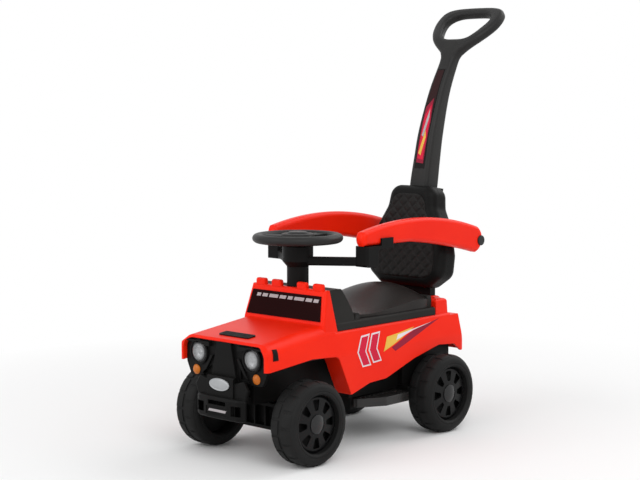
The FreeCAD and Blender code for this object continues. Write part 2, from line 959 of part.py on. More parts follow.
def front_guard():
    inner = sleeve_radius - sleeve_wall - seat_gap
    low = sleeve_top_z - bowl_spigot
    recess = bowl_radius - wall
    floor = bowl_top_z - bowl_recess
    bore = shaft_radius + running_gap
    profile = [(bore, low), (inner, low), (inner, sleeve_top_z), (sleeve_radius, sleeve_top_z),
               (bowl_radius, bowl_shoulder_z), (bowl_radius, bowl_top_z), (recess, bowl_top_z),
               (recess, floor),
               (bore, floor)]
    bowl = turned(profile, column_x, 0)
    guard = bowl
    half = wing_thickness / 2
    arm_outer = arm_inner_y + arm_width
    tab_inner = arm_outer + seat_gap
    shelf = arm_front_low_z - seat_gap
    for side in (1, -1):
        ahead = V(wing_end_x - column_x, wing_end_y - wing_root_y, 0).normalize()
        across = V(-ahead.y, ahead.x, 0) * half
        start = V(column_x, wing_root_y, 0)
        end = V(wing_end_x, wing_end_y, 0)
        corners = [start + across, start - across, end - across, end + across]
        wing = plan_slab(straight_face([(c.x, c.y) for c in corners], on_plan), wing_low_z, wing_high_z)
        wing = soften(wing, wing_round, lambda box: box.ZLength < wing_round and box.YLength > wing_thickness)
        wing = wing.cut(post(bowl_radius - wall / 2, column_x, 0, wing_low_z, wing_high_z))
        foot = [(cradle_front_x, cradle_low_z), (cradle_front_x, shelf), (cradle_back_x, shelf),
                (cradle_back_x, shelf - cradle_lip), (cradle_block_x, shelf - cradle_lip),
                (cradle_block_x, cradle_low_z)]
        cradle = side_slab(foot, arm_inner_y - cradle_lip / 2, tab_inner + tab_thickness)
        cradle = soften(cradle, cradle_round, lambda box: is_cradle_edge(box, shelf))
        tab_outer = tab_inner + tab_thickness
        tab = block(cradle_back_x, tab_front_x, tab_inner, tab_outer, shelf - cradle_lip, tab_top_z)
        piece = wing.fuse([cradle, tab])
        guard = guard.fuse(piece if side > 0 else mirrored(piece))
    return guard.removeSplitter()


# Body shell: the same forms are built at full size and again one wall smaller; the difference is the
# moulding.
side_draft = (body_half_width - belt_half_width) / (belt_z - shoulder_z)


def body_section(x, top_z, top_round, inset):
    half = body_half_width - inset
    top_half = half - side_draft * (top_z - shoulder_z)
    corners = both_halves([(half, 0, 0), (half, shoulder_z, shoulder_round), (top_half, top_z, top_round)])
    wire = round_wire(corners, on_front)
    wire.translate(V(x, 0, 0))
    return wire


def hood_form(inset):
    high = screen_base_z - inset
    stations = [(nose_x - inset, nose_top_z - inset, nose_round),
                (hood_front_x - inset, hood_front_z - inset, hood_round),
                (screen_base_x, high, hood_round), (hood_back_x, high, hood_round)]
    form = Part.makeLoft([body_section(x, z, r - inset, inset) for x, z, r in stations], True, True)
    half = body_half_width - inset
    corner = nose_corner_round - inset
    plan = [(hood_back_x, half, 0), (nose_x - inset, half, corner), (nose_x - inset, -half, corner),
            (hood_back_x, -half, 0)]
    return form.common(plan_slab(round_face(plan, on_plan), 0, screen_base_z))


def cabin_form(inset):
    form = front_slab(Part.Face(body_section(0, belt_z - inset, belt_round, inset)), tail_lip_x,
                      cabin_front_x)
    tail = [(cabin_front_x, 0), (cabin_front_x, belt_z), (bump_back_x, belt_z), (bump_back_x, deck_z - inset),
            (tail_deck_x + inset, deck_z - inset), (tail_waist_x + inset, tail_waist_z),
            (tail_lip_x + inset, tail_low_z), (tail_lip_x + inset, 0)]
    form = form.common(side_slab(tail, -body_half_width, body_half_width))
    half = body_half_width - inset
    corner = tail_round - inset
    plan = [(cabin_front_x, half, 0), (tail_lip_x + inset, half, corner), (tail_lip_x + inset, -half, corner),
            (cabin_front_x, -half, 0)]
    return form.common(plan_slab(round_face(plan, on_plan), 0, belt_z))


def screen_form(inset):
    opened = pillar_opening if inset > 0 else 0
    foot_z = belt_z - wall - inset
    ledge_x = screen_top_x - ledge_depth
    outline = [(pillar_foot_x - opened, foot_z), (screen_base_x - inset, foot_z),
               (screen_base_x - inset, screen_base_z), (screen_top_x - inset, screen_top_z - inset),
               (ledge_x - opened, screen_top_z - inset)]
    form = side_slab(outline, -body_half_width, body_half_width)
    foot_half = screen_foot_half_width - inset
    top_half = screen_top_half_width - inset
    front = [(-foot_half, foot_z), (foot_half, foot_z), (top_half, screen_top_z), (-top_half, screen_top_z)]
    front_face = straight_face(front, on_front)
    form = form.common(front_slab(front_face, pillar_foot_x - pillar_opening, screen_base_x))
    if inset > 0:
        return form
    return soften(form, screen_round, is_screen_edge)


def is_screen_edge(box):
    if box.XMin < screen_top_x - wall:
        return False
    return box.ZMax > screen_top_z - wall or box.ZLength > wall


def bump_form(inset):
    low = deck_z - wall - inset
    top = bump_top_z - inset
    front = bump_front_x - inset
    outline = [(front, low), (front, top), (bump_back_x + bump_lean + inset, top), (bump_back_x + inset, low)]
    half = bump_half_width - inset
    bump = side_slab(outline, -half, half)
    outline = [(front, low), (front, top), (socket_back_x + bump_lean + inset, top),
               (socket_back_x + inset, low)]
    half = socket_half_width - inset
    bump = bump.fuse(side_slab(outline, -half, half)).removeSplitter()
    if inset > 0:
        return bump
    return soften(bump, bump_round, lambda box: box.ZMin > top - wall)


def body_form(inset):
    form = hood_form(inset).fuse([cabin_form(inset), screen_form(inset), bump_form(inset)])
    grow = seat_gap + inset
    half = fascia_half_width + grow
    opening = both_halves([(half, -overrun, 0), (half, fascia_top_z + grow, fascia_round + grow)])
    return form.cut(front_slab(round_face(opening, on_front), fascia_back_x - inset, nose_x + overrun))


def lower_cut():
    r = lower_round
    point = lower_point_round
    outline = [(nose_x + overrun, arch_front_z, 0), (arch_top_x, arch_top_z, r),
               (arch_back_x, arch_back_z, r),
               (sill_tip_x, sill_tip_z, point), (sill_front_x, sill_front_z, r),
               (sill_back_x, sill_back_z, r),
               (rear_arch_front_x, rear_arch_front_z, r), (rear_arch_top_x, rear_arch_top_z, r),
               (rear_arch_back_x, rear_arch_back_z, r), (tail_corner_x, tail_low_z, point),
               (tail_lip_x - overrun, tail_low_z, 0), (tail_lip_x - overrun, -overrun, 0),
               (nose_x + overrun, -overrun, 0)]
    face = round_face(outline, on_side)
    face.translate(V(0, -body_half_width - overrun, 0))
    return face.extrude(V(0, 2 * (body_half_width + overrun), 0))


def boss_places():
    return [(front_boss_x, keel_rim_z, hood_height(front_boss_x)), (middle_boss_x, tub_rim_z, belt_z),
            (rear_boss_x, tub_rim_z, deck_z)]


def body_shell():
    form = body_form(0)
    shell = form.cut(body_form(wall)).cut(lower_cut())
    hole_low = deck_z - overrun
    shell = shell.cut(block(seat_hole_back_x, seat_hole_front_x, -seat_hole_half_width, seat_hole_half_width,
                            hole_low, belt_z + overrun))
    gap = seat_gap
    half = tongue_half_width + gap
    shell = shell.cut(block(tongue_back_x - gap, tongue_front_x + gap, -half, half, hole_low,
                            bump_top_z + overrun))
    reach = body_half_width - wall / 2
    liner = [(sill_tip_x, sill_tip_z), (arch_back_x, arch_back_z), (arch_back_x - wall, arch_back_z),
             (sill_tip_x - wall, sill_tip_z)]
    extras = []
    for side in (1, -1):
        y_low, y_high = sorted((side * reach, side * (reach - arch_wall_depth)))
        extras.append(side_slab(liner, y_low, y_high))
        for x, z_low, z_high in boss_places():
            hole = post(screw_radius + running_gap, x, side * boss_y, z_low, z_low + screw_depth + wall)
            extras.append(post(boss_radius, x, side * boss_y, z_low, z_high).common(form).cut(hole))
        for y in (stud_y_inner, stud_y_outer):
            y_low, y_high = side * y - stud_half_width, side * y + stud_half_width
            stud = block(screen_top_x - ledge_depth, screen_top_x, y_low, y_high,
                         screen_top_z - wall / 2, screen_top_z + stud_height)
            extras.append(soften(stud, stud_round, lambda box: box.ZLength > wall or box.ZMin > screen_top_z))
    return shell.fuse(extras).removeSplitter()


# Front panel and bumper
def on_face(points, x_high):
    return front_slab(straight_face(points, on_front), fascia_face_x - wall, x_high)


def fascia_panel():
    half = fascia_half_width
    outline = both_halves([(half - fascia_low_inset, fascia_low_z, fascia_low_round),
                           (half, fascia_side_z, fascia_low_round), (half, fascia_top_z, fascia_round)])
    back = fascia_back_x + seat_gap
    face = round_face(outline, on_front)
    panel = front_slab(face, back, fascia_face_x)
    within = front_slab(face, back, fascia_face_x + brow_rise)
    for side in (1, -1):
        high = fascia_top_z - wall
        brow = [(side * half, brow_outer_z), (side * half, high), (side * brow_inner_y, high),
                (side * brow_inner_y, brow_inner_z)]
        rib = [(side * rib_low_y, fascia_low_z + wall), (side * (rib_low_y + rib_width), fascia_low_z + wall),
               (side * (rib_high_y + rib_width), rib_high_z), (side * rib_high_y, rib_high_z)]
        bezel = long_rod(lamp_radius + bezel_width, side * lamp_y, lamp_z, fascia_face_x - wall,
                         fascia_face_x + bezel_rise)
        pieces = [on_face(brow, fascia_face_x + brow_rise).common(within),
                  on_face(rib, fascia_face_x + rib_rise), bezel]
        panel = panel.fuse(pieces)
    snout = [(-snout_low_half, fascia_low_z), (snout_low_half, fascia_low_z), (snout_top_half, fascia_top_z),
             (-snout_top_half, fascia_top_z)]
    panel = panel.fuse(on_face(snout, fascia_face_x + snout_rise))
    for side in (1, -1):
        well_x = fascia_face_x - wall
        panel = panel.cut(long_rod(lamp_radius + seat_gap, side * lamp_y, lamp_z, well_x, nose_x + overrun))
        inner, outer = side * vent_inner_y, side * vent_outer_y
        vent = [(inner, vent_low_z), (outer, vent_low_z), (inner, vent_high_z)]
        panel = panel.cut(front_slab(straight_face(vent, on_front), fascia_face_x - vent_depth,
                                     nose_x + overrun))
    return panel.removeSplitter()


def headlamp_reflectors():
    lamps = []
    low = fascia_face_x - wall
    for side in (1, -1):
        rim = long_rod(lamp_radius, side * lamp_y, lamp_z, low, low + lamp_depth)
        start = V(low + wall / 2, side * lamp_y, lamp_z)
        bowl = Part.makeCone(lamp_floor_share * lamp_radius, lamp_mouth_share * lamp_radius,
                             lamp_depth - wall / 2, start, V(1, 0, 0))
        lamps.append(rim.cut(bowl))
    return Part.makeCompound(lamps)


def dome(radius, edge, rise, x, y, z):
    path = [V(edge + rise, 0, 0), V(0, 0, 0), V(0, radius, 0), V(edge, radius, 0)]
    face = closed_face(path, dome_edges(radius, edge, rise))
    solid = face.revolve(V(0, 0, 0), V(1, 0, 0), 360)
    solid.translate(V(x, y, z))
    return solid


def headlamp_lenses():
    low = fascia_face_x - wall + lamp_depth
    places = [(low, side * lamp_y, lamp_z) for side in (1, -1)]
    return Part.makeCompound([dome(lamp_radius, lens_edge, lens_rise, x, y, z) for x, y, z in places])


def indicator_lenses():
    places = [(fascia_face_x, side * amber_y, amber_z) for side in (1, -1)]
    return Part.makeCompound([dome(amber_radius, lens_edge, amber_rise, x, y, z) for x, y, z in places])


def bumper_form(inset):
    half = bumper_half_width - inset
    core = bumper_core_half
    front = bumper_front_x - inset
    end = bumper_end_x
    bend = bumper_corner_round
    corners = [(bumper_back_x, core - inset, 0), (end - inset, half, bumper_tip_round),
               (front - wall, core, bend),
               (front, core / 2, bend)]
    corners = corners + [(x, -y, r) for x, y, r in reversed(corners)]
    face = round_face(corners, on_plan)
    return plan_slab(face, bumper_low_z + inset, bumper_high_z - inset)


def cheek(side):
    low = bumper_high_z - wall
    inner = bridge_half_width - wall
    outline = [(inner, low), (cheek_foot_y, low), (cheek_wide_y, cheek_wide_z),
               (cheek_top_y, bridge_top_z - wall),
               (inner, cheek_inner_z)]
    front = bridge_back_x + cheek_depth
    face = straight_face([(side * y, z) for y, z in outline], on_front)
    slab = front_slab(face, bridge_back_x, front)
    return soften(slab, cheek_round, lambda box: box.XMin > front - cheek_round and box.ZMax > low + wall)


def bumper():
    solid = soften(bumper_form(0), bumper_round,
                   lambda box: box.ZLength < wall and box.XMax > bumper_back_x + wall)
    half = bumper_half_width
    hollow = bumper_form(wall).common(block(0, bumper_front_x, -half, half, 0, bridge_top_z))
    opening = block(bumper_back_x - overrun, bumper_back_x + wall, wall - bumper_core_half,
                    bumper_core_half - wall,
                    bumper_low_z + wall, bumper_high_z - wall)
    solid = solid.cut(hollow.fuse(opening))
    bridge = [(bridge_back_x, bumper_high_z - wall), (bridge_front_x, bumper_high_z - wall),
              (bridge_front_x, bridge_top_z - wall), (bridge_front_x - wall, bridge_top_z),
              (bridge_back_x, bridge_top_z)]
    pieces = [side_slab(bridge, -bridge_half_width, bridge_half_width)]
    for side in (1, -1):
        y_low, y_high = sorted((side * (horn_y - horn_half_width), side * (horn_y + horn_half_width)))
        pieces.append(block(keel_front_x, bumper_back_x + wall, y_low, y_high, horn_low_z, bumper_high_z))
        pieces.append(cheek(side))
    solid = solid.fuse(pieces)
    mouth = block(bumper_front_x - mouth_depth, bumper_front_x + overrun, -mouth_half_width, mouth_half_width,
                  mouth_low_z, mouth_high_z)
    solid = solid.cut(mouth)
    for side in (1, -1):
        y_low, y_high = sorted((side * slot_inner_y, side * slot_outer_y))
        solid = solid.cut(block(bumper_end_x, bumper_front_x + overrun, y_low, y_high, slot_low_z,
                                slot_high_z))
    plate = block(bumper_front_x - plate_recess, bumper_front_x + overrun, -plate_half_width,
                  plate_half_width,
                  plate_low_z, plate_high_z)
    return solid.cut(plate).removeSplitter()


def badge_plate():
    ring = Part.Ellipse(V(0, 0, 0), badge_half_width, badge_half_height).toShape()
    face = Part.Face(Part.Wire([ring]))
    plate = face.extrude(V(0, 0, badge_thickness))
    plate.rotate(V(0, 0, 0), V(0, 0, 1), 90)
    plate.rotate(V(0, 0, 0), V(0, 1, 0), 90)
    plate.translate(V(bridge_front_x, 0, badge_z))
    return plate


# Inserts that lie on the body's skin
def hood_height(x):
    share = (hood_front_x - x) / (hood_front_x - screen_base_x)
    return hood_front_z + (screen_base_z - hood_front_z) * share


def hood_vent():
    low_x, high_x = hood_vent_x - hood_vent_length / 2, hood_vent_x + hood_vent_length / 2
    half = hood_vent_half_width
    outline = [(low_x, hood_height(low_x)), (high_x, hood_height(high_x)),
               (high_x, hood_height(high_x) + hood_vent_thickness),
               (low_x, hood_height(low_x) + hood_vent_thickness)]
    r = hood_vent_round
    plan = round_face([(low_x, -half, r), (high_x, -half, r), (high_x, half, r), (low_x, half, r)], on_plan)
    vent = side_slab(outline, -half, half).common(plan_slab(plan, 0, screen_top_z))
    pitch = hood_vent_length / (hood_slat_count + 1)
    for k in range(hood_slat_count):
        x = low_x + pitch * (k + 1)
        floor = hood_height(x) + hood_vent_thickness - hood_slat_depth
        reach = half - hood_vent_round
        slat = hood_slat_width / 2
        vent = vent.cut(block(x - slat, x + slat, -reach, reach, floor, floor + overrun))
    return vent


def side_vents():
    rise = side_vent_thickness
    skin = body_section(0, hood_height(side_vent_x) + rise, hood_round + rise, -rise)
    skin = front_slab(Part.Face(skin), 0, nose_x).cut(hood_form(0))
    x = side_vent_x
    half = side_vent_length / 2
    outline = [(x - half, side_vent_low_z), (x + half, side_vent_low_z),
               (x + half - side_vent_lean, side_vent_high_z), (x - half, side_vent_high_z)]
    return Part.makeCompound([skin.common(side_slab(outline, low, low + body_half_width))
                              for low in (0, -body_half_width)])


def screen_front(z):
    share = (z - screen_base_z) / (screen_top_z - screen_base_z)
    return screen_base_x + (screen_top_x - screen_base_x) * share


def windscreen_panel():
    low, high = screen_front(panel_low_z), screen_front(panel_top_z)
    outline = [(low, panel_low_z), (low + panel_thickness, panel_low_z),
               (high + panel_thickness, panel_top_z),
               (high, panel_top_z)]
    front = [(-panel_low_half, panel_low_z), (panel_low_half, panel_low_z), (panel_top_half, panel_top_z),
             (-panel_top_half, panel_top_z)]
    sheet = side_slab(outline, -body_half_width, body_half_width)
    return sheet.common(front_slab(straight_face(front, on_front), 0, nose_x))


# Underbody: a narrow keel between the front wheels, a wider tub behind, and a rim that carries the body.
def underbody():
    def tub(inset):
        lift = inset
        half, tail = tub_half_width - inset, tail_tub_half_width - inset
        keel = block(keel_back_x + inset, keel_front_x - inset, inset - keel_half_width,
                     keel_half_width - inset,
                     keel_floor_z + lift, keel_rim_z + lift)
        middle = block(tail_tub_front_x, keel_back_x - inset, -half, half, tub_floor_z + lift,
                       tub_rim_z + lift)
        rear = block(tub_back_x + inset, tail_tub_front_x - inset, -tail, tail, tub_floor_z + lift,
                     tub_rim_z + lift)
        return keel.fuse([middle, rear])
    rim_half = rim_half_width
    rims = [block(keel_rim_back_x, keel_front_x, -rim_half, rim_half, keel_rim_z - wall, keel_rim_z),
            block(tub_rim_back_x, tub_rim_front_x, -rim_half, rim_half, tub_rim_z - wall, tub_rim_z)]
    body = tub(0).fuse(rims)
    link = block(keel_back_x - overrun, keel_back_x + overrun, wall - keel_half_width, keel_half_width - wall,
                 keel_floor_z + wall, keel_rim_z + overrun)
    passage = block(tail_tub_front_x - overrun, tail_tub_front_x + overrun, wall - tub_half_width,
                    tub_half_width - wall, tub_floor_z + wall, keel_rim_z + overrun)
    body = body.cut(tub(wall).fuse([link, passage]))
    body = body.fuse(post(column_boss_radius, column_x, 0, keel_floor_z, keel_floor_z + column_boss_height))
    body = body.cut(post(shaft_radius + running_gap, column_x, 0, 0, keel_rim_z))
    lip_high = board_low_z - seat_gap
    lip_low = lip_high - rail_lip_thickness
    front_wall = board_front_x + seat_gap
    back_wall = board_back_x - seat_gap
    extras = []
    for side in (1, -1):
        outer = tail_tub_half_width
        y_low, y_high = sorted((side * outer, side * (outer - hanger_width)))
        hanger = block(-half_base - hanger_half_length, -half_base + hanger_half_length, y_low, y_high,
                       axle_z, tub_floor_z + wall)
        hanger = hanger.fuse(cross_rod(axle_z - hanger_low_z, -half_base, axle_z, y_low, y_high))
        extras.append(hanger.cut(cross_rod(axle_radius + running_gap, -half_base, axle_z, y_low, y_high)))
    rails = [[(front_wall, tub_floor_z + wall), (front_wall, lip_high), (front_wall - rail_lip, lip_high),
              (front_wall - rail_lip, lip_low), (front_wall + rail_thickness, lip_low),
              (front_wall + rail_thickness, tub_floor_z + wall)],
             [(back_wall, tub_floor_z + wall), (back_wall, lip_high), (back_wall + rail_lip, lip_high),
              (back_wall + rail_lip, lip_low), (back_wall - rail_thickness, lip_low),
              (back_wall - rail_thickness, tub_floor_z + wall)]]
    for rail, reach in zip(rails, (tub_half_width, tail_tub_half_width)):
        extras.append(side_slab(rail, -reach, reach))
    body = body.fuse(extras)
    for x, z_low, z_high in boss_places():
        for side in (1, -1):
            body = body.cut(post(screw_radius + running_gap, x, side * boss_y, z_low - wall - overrun, z_low))
    return body.removeSplitter()


def chassis_screws():
    screws = []
    for x, z_low, z_high in boss_places():
        for side in (1, -1):
            head_high = z_low - wall
            screw = post(screw_head_radius, x, side * boss_y, head_high - screw_head, head_high)
            stem = post(screw_radius, x, side * boss_y, head_high - screw_head, z_low + screw_depth)
            screws.append(screw.fuse(stem))
    return Part.makeCompound(screws)


def rear_axle():
    return cross_rod(axle_radius, -half_base, axle_z, -axle_end_y, axle_end_y)


def rear_axle_spacers():
    spacers = []
    for side in (1, -1):
        y_low, y_high = sorted((side * (tail_tub_half_width + seat_gap), side * (hub_inner_y - seat_gap)))
        sleeve = cross_rod(nut_radius, -half_base, axle_z, y_low, y_high)
        spacers.append(sleeve.cut(cross_rod(axle_radius + running_gap, -half_base, axle_z, y_low, y_high)))
    return Part.makeCompound(spacers)


def footboard():
    tread_top = tub_floor_z - seat_gap
    top = tread_top - tread_height
    r = board_round
    outline = [(board_front_x, board_inner_y, 0), (board_front_x, board_tip_y, r),
               (board_taper_x, board_outer_y, r),
               (board_back_x, board_outer_y, r), (board_back_x, board_inner_y, 0)]
    board = plan_slab(round_face(outline, on_plan), board_low_z, top)
    w = wall
    inner = [(board_front_x - w, board_inner_y + w, 0), (board_front_x - w, board_tip_y - w, r),
             (board_taper_x - w, board_outer_y - w, r), (board_back_x + w, board_outer_y - w, r),
             (board_back_x + w, board_inner_y + w, 0)]
    board = board.cut(plan_slab(round_face(inner, on_plan), board_low_z - overrun, top - wall))
    treads = []
    pitch = (board_front_x - board_back_x) / (tread_count + 1)
    for k in range(tread_count):
        x = board_back_x + pitch * (k + 1)
        half = tread_width / 2
        treads.append(block(x - half, x + half, board_inner_y + w, board_tip_y, top - w / 2, tread_top))
    return board.fuse(treads).removeSplitter()


# Seat
def cowl_form(inset):
    slope = (screen_top_x - ledge_depth - pillar_foot_x) / (screen_top_z - belt_z)
    front_low = pillar_foot_x - seat_gap - inset
    top = screen_top_z - inset
    front_high = pillar_foot_x + slope * (top - belt_z) - seat_gap - inset
    crest = V(cowl_top_back_x + inset, 0, top)
    foot = V(cowl_foot_x + inset, 0, cowl_foot_z)
    back = Part.Arc(crest, V(cowl_mid_x + inset, 0, cowl_mid_z), foot)
    low = belt_z if inset == 0 else belt_z - overrun
    path = [foot, V(foot.x, 0, low), V(front_low, 0, low), V(front_high, 0, top), crest]
    edges = [Part.LineSegment(a, b).toShape() for a, b in zip(path, path[1:])]
    face = Part.Face(Part.Wire(edges + [back.toShape()]))
    face.translate(V(0, -body_half_width, 0))
    form = face.extrude(V(0, 2 * body_half_width, 0))
    foot_half = coaming_half_width - inset
    top_half = screen_top_half_width - inset
    front = [(-foot_half, low), (foot_half, low), (top_half, screen_top_z), (-top_half, screen_top_z)]
    return form.common(front_slab(straight_face(front, on_front), 0, screen_base_x))


def seat_base():
    half = coaming_half_width
    front = pillar_foot_x - seat_gap
    ring = block(coaming_back_x, front, -half, half, belt_z, coaming_top_z)
    ring = soften(ring, coaming_round, lambda box: box.XLength > half and box.ZMin > coaming_top_z - wall)
    skirt_half = seat_hole_half_width - seat_gap
    skirt = block(seat_hole_back_x + seat_gap, seat_hole_front_x - wall, -skirt_half, skirt_half,
                  belt_z - skirt_depth, belt_z)
    riser = block(coaming_back_x, riser_front_x, -riser_half_width, riser_half_width, belt_z, riser_top_z)
    riser = soften(riser, riser_round, lambda box: box.XLength > wall and box.ZMin > riser_top_z - wall)
    ears = []
    for side in (1, -1):
        y_low, y_high = sorted((side * hinge_ear_y, side * (hinge_ear_y + hinge_ear_width)))
        ear = cross_rod(hinge_radius, hinge_x, hinge_z, y_low, y_high)
        ear = ear.fuse(block(hinge_x - hinge_radius, hinge_x + hinge_radius, y_low, y_high,
                             coaming_top_z - wall, hinge_z))
        ears.append(ear.cut(cross_rod(hinge_pin_radius + running_gap, hinge_x, hinge_z, y_low, y_high)))
    base = ring.fuse([skirt, cowl_form(0), riser] + ears)
    well = block(well_back_x, well_front_x, -well_half_width, well_half_width, 0, screen_top_z)
    skirt_hollow = block(seat_hole_back_x + seat_gap + wall, seat_hole_front_x - 2 * wall, wall - skirt_half,
                         skirt_half - wall, 0, coaming_top_z - wall)
    base = base.cut(well.fuse([skirt_hollow, cowl_form(wall)]))
    low = belt_z - skirt_depth - overrun
    passage = post(spigot_radius + seat_gap, column_x, 0, low, screen_top_z + overrun)
    return base.cut(passage).removeSplitter()


def lid_wire(x, half, shoulder, crown, inset):
    low = lid_base_z - inset
    side = half - inset
    points = [V(x, side, low), V(x, side, shoulder - inset), V(x, 0, crown - inset),
              V(x, -side, shoulder - inset),
              V(x, -side, low)]
    right, right_top, middle, left_top, left = points
    edges = [Part.LineSegment(right, right_top), Part.Arc(right_top, middle, left_top),
             Part.LineSegment(left_top, left), Part.LineSegment(left, right)]
    return Part.Wire([edge.toShape() for edge in edges])


def seat_lid():
    def form(inset):
        barrel_top = hinge_z + hinge_radius
        stations = [(lid_back_x + inset, lid_back_half, lid_back_shoulder_z, lid_back_crown_z),
                    (crest_x, lid_mid_half, crest_shoulder_z, crest_crown_z),
                    (rise_x, lid_mid_half, rise_shoulder_z, rise_crown_z),
                    (slope_x, lid_mid_half, slope_shoulder_z, slope_crown_z),
                    (dip_x, (lid_front_half + lid_mid_half) / 2, dip_shoulder_z, dip_crown_z),
                    (hinge_x - inset, lid_front_half, barrel_top - wall / 2, barrel_top)]
        return Part.makeLoft([lid_wire(x, half, s, c, inset) for x, half, s, c in stations], True, False)
    lid = form(0).cut(form(lid_wall))
    barrel = cross_rod(hinge_radius, hinge_x, hinge_z, -lid_front_half, lid_front_half)
    lid = lid.fuse(barrel)
    return lid.cut(cross_rod(hinge_pin_radius + running_gap, hinge_x, hinge_z, -body_half_width,
                             body_half_width))


def lid_hinge_pins():
    outer = hinge_ear_y + hinge_ear_width
    pin = cross_rod(hinge_pin_radius, hinge_x, hinge_z, outer - hinge_pin_length, outer)
    return Part.makeCompound(both_sides(pin))


def storage_bin():
    low = tub_floor_z + wall + seat_gap
    half = well_half_width - seat_gap
    front, back = well_front_x - seat_gap, well_back_x + seat_gap

    def tub(inset, z_low):
        r = bin_round - inset
        plan = [(front - inset, half - inset, r), (back + inset, half - inset, r),
                (back + inset, inset - half, r),
                (front - inset, inset - half, r)]
        return plan_slab(round_face(plan, on_plan), z_low, coaming_top_z + overrun)
    solid = tub(0, low).common(block(back, front, -half, half, low, coaming_top_z))
    top = lid_base_z + bin_wall
    end = bin_rim / 2
    rim = block(back - end, front + end, -half - bin_rim, half + bin_rim, coaming_top_z, top)
    return solid.fuse(rim).cut(tub(bin_wall, low + bin_wall))


# Backrest, drawn upright with its front face at X = 0 and then leaned and set in place.
def lean_back(shape):
    shape = shape.copy()
    shape.rotate(V(0, 0, 0), V(0, 1, 0), -back_lean)
    shape.translate(V(back_x, 0, back_low_z))
    return shape


lean_sin = math.sin(math.radians(back_lean))
lean_cos = math.cos(math.radians(back_lean))
carrier_back = (pivot_x - back_x) * lean_cos + (pivot_z - back_low_z) * lean_sin
carrier_up = -(pivot_x - back_x) * lean_sin + (pivot_z - back_low_z) * lean_cos
bulge_back = carrier_back + carrier_radius + seat_gap


def back_outline(inset):
    r = back_corner_round
    half = [(back_foot_half - inset, inset, r), (back_hip_half - inset, back_hip_z, r),
            (back_hip_half - inset, back_side_z, r), (back_shoulder_half - inset, back_shoulder_z, r),
            (back_neck_half - inset, back_neck_z, r), (back_top_half - inset, back_height - inset, r)]
    return round_face(both_halves(half), on_front)


def backrest_front():
    slab = front_slab(back_outline(0), -back_split, 0)
    slab = soften(slab, back_round, lambda box: box.XMin > -back_round / 2)
    hollow = front_slab(back_outline(wall), -back_split - overrun, -wall)
    hollow = soften(hollow, back_round - wall, lambda box: box.XMin > -back_round)
    return lean_back(slab.cut(hollow))


def tang_box(gap):
    return block(-tang_back - gap, -tang_front + gap, -tang_half_width - gap, tang_half_width + gap,
                 tang_low - gap, back_height + overrun)


def lock_rod(radius, x_low, x_high):
    return long_rod(radius, 0, lock_height, x_low, x_high)


def backrest_rear():
    split = -back_split - seat_gap
    slab = front_slab(back_outline(0), -back_depth, split)
    slab = soften(slab, back_round, lambda box: box.XMax < back_round / 2 - back_depth)
    hollow = front_slab(back_outline(wall), wall - back_depth, split + overrun)
    core = block(-back_depth, overrun, -core_half_width, core_half_width, 0, back_height)
    bulge = block(bulge_back, -back_split - wall, -bulge_half_width, bulge_half_width, bulge_low, back_height)
    bulge = soften(bulge, bulge_round,
                   lambda box: box.XMax < bulge_back + wall and box.ZMin < back_height - wall)
    solid = slab.cut(hollow.cut(core)).fuse(bulge)
    solid = solid.cut(tang_box(seat_gap))
    solid = solid.cut(lock_rod(lock_radius + seat_gap, bulge_back - overrun, -tang_back))
    for side in (1, -1):
        hole = long_rod(screw_radius + running_gap, side * carrier_screw_y, carrier_up, bulge_back - overrun,
                        bulge_back + screw_depth)
        solid = solid.cut(hole)
    solid = lean_back(solid)
    tongue = block(tongue_back_x, tongue_front_x, -tongue_half_width, tongue_half_width, tongue_low_z,
                   tongue_top_z)
    front_half = front_slab(back_outline(0), split, overrun)
    return solid.fuse(tongue.cut(lean_back(front_half))).removeSplitter()


carrier_screw_y = (tang_half_width + bulge_half_width) / 2


def arm_carrier():
    end = arm_inner_y - seat_gap
    tube = cross_rod(carrier_radius, carrier_back, carrier_up, -end, end)
    saddle = block(carrier_back, bulge_back, -saddle_half_width, saddle_half_width,
                   carrier_up - saddle_half_height, carrier_up + saddle_half_height)
    solid = tube.fuse(saddle)
    for side in (1, -1):
        y_low, y_high = sorted((side * end, side * (saddle_half_width + wall)))
        solid = solid.cut(cross_rod(carrier_radius - carrier_wall, carrier_back, carrier_up, y_low, y_high))
        y_low, y_high = sorted((side * end, side * (end - bolt_grip)))
        solid = solid.fuse(cross_rod(carrier_radius, carrier_back, carrier_up, y_low, y_high))
        solid = solid.cut(cross_rod(bolt_radius + running_gap, carrier_back, carrier_up, y_low, y_high))
        hole = long_rod(screw_radius + running_gap, side * carrier_screw_y, carrier_up,
                        carrier_back - carrier_radius - overrun, bulge_back)
        solid = solid.cut(hole)
    return lean_back(solid.removeSplitter())


def carrier_screws():
    screws = []
    for side in (1, -1):
        y = side * carrier_screw_y
        head = carrier_back - carrier_radius
        screw = long_rod(screw_radius, y, carrier_up, head - screw_head, bulge_back + screw_depth)
        screws.append(lean_back(screw.fuse(long_rod(screw_head_radius, y, carrier_up, head - screw_head,
                                                    head))))
    return Part.makeCompound(screws)


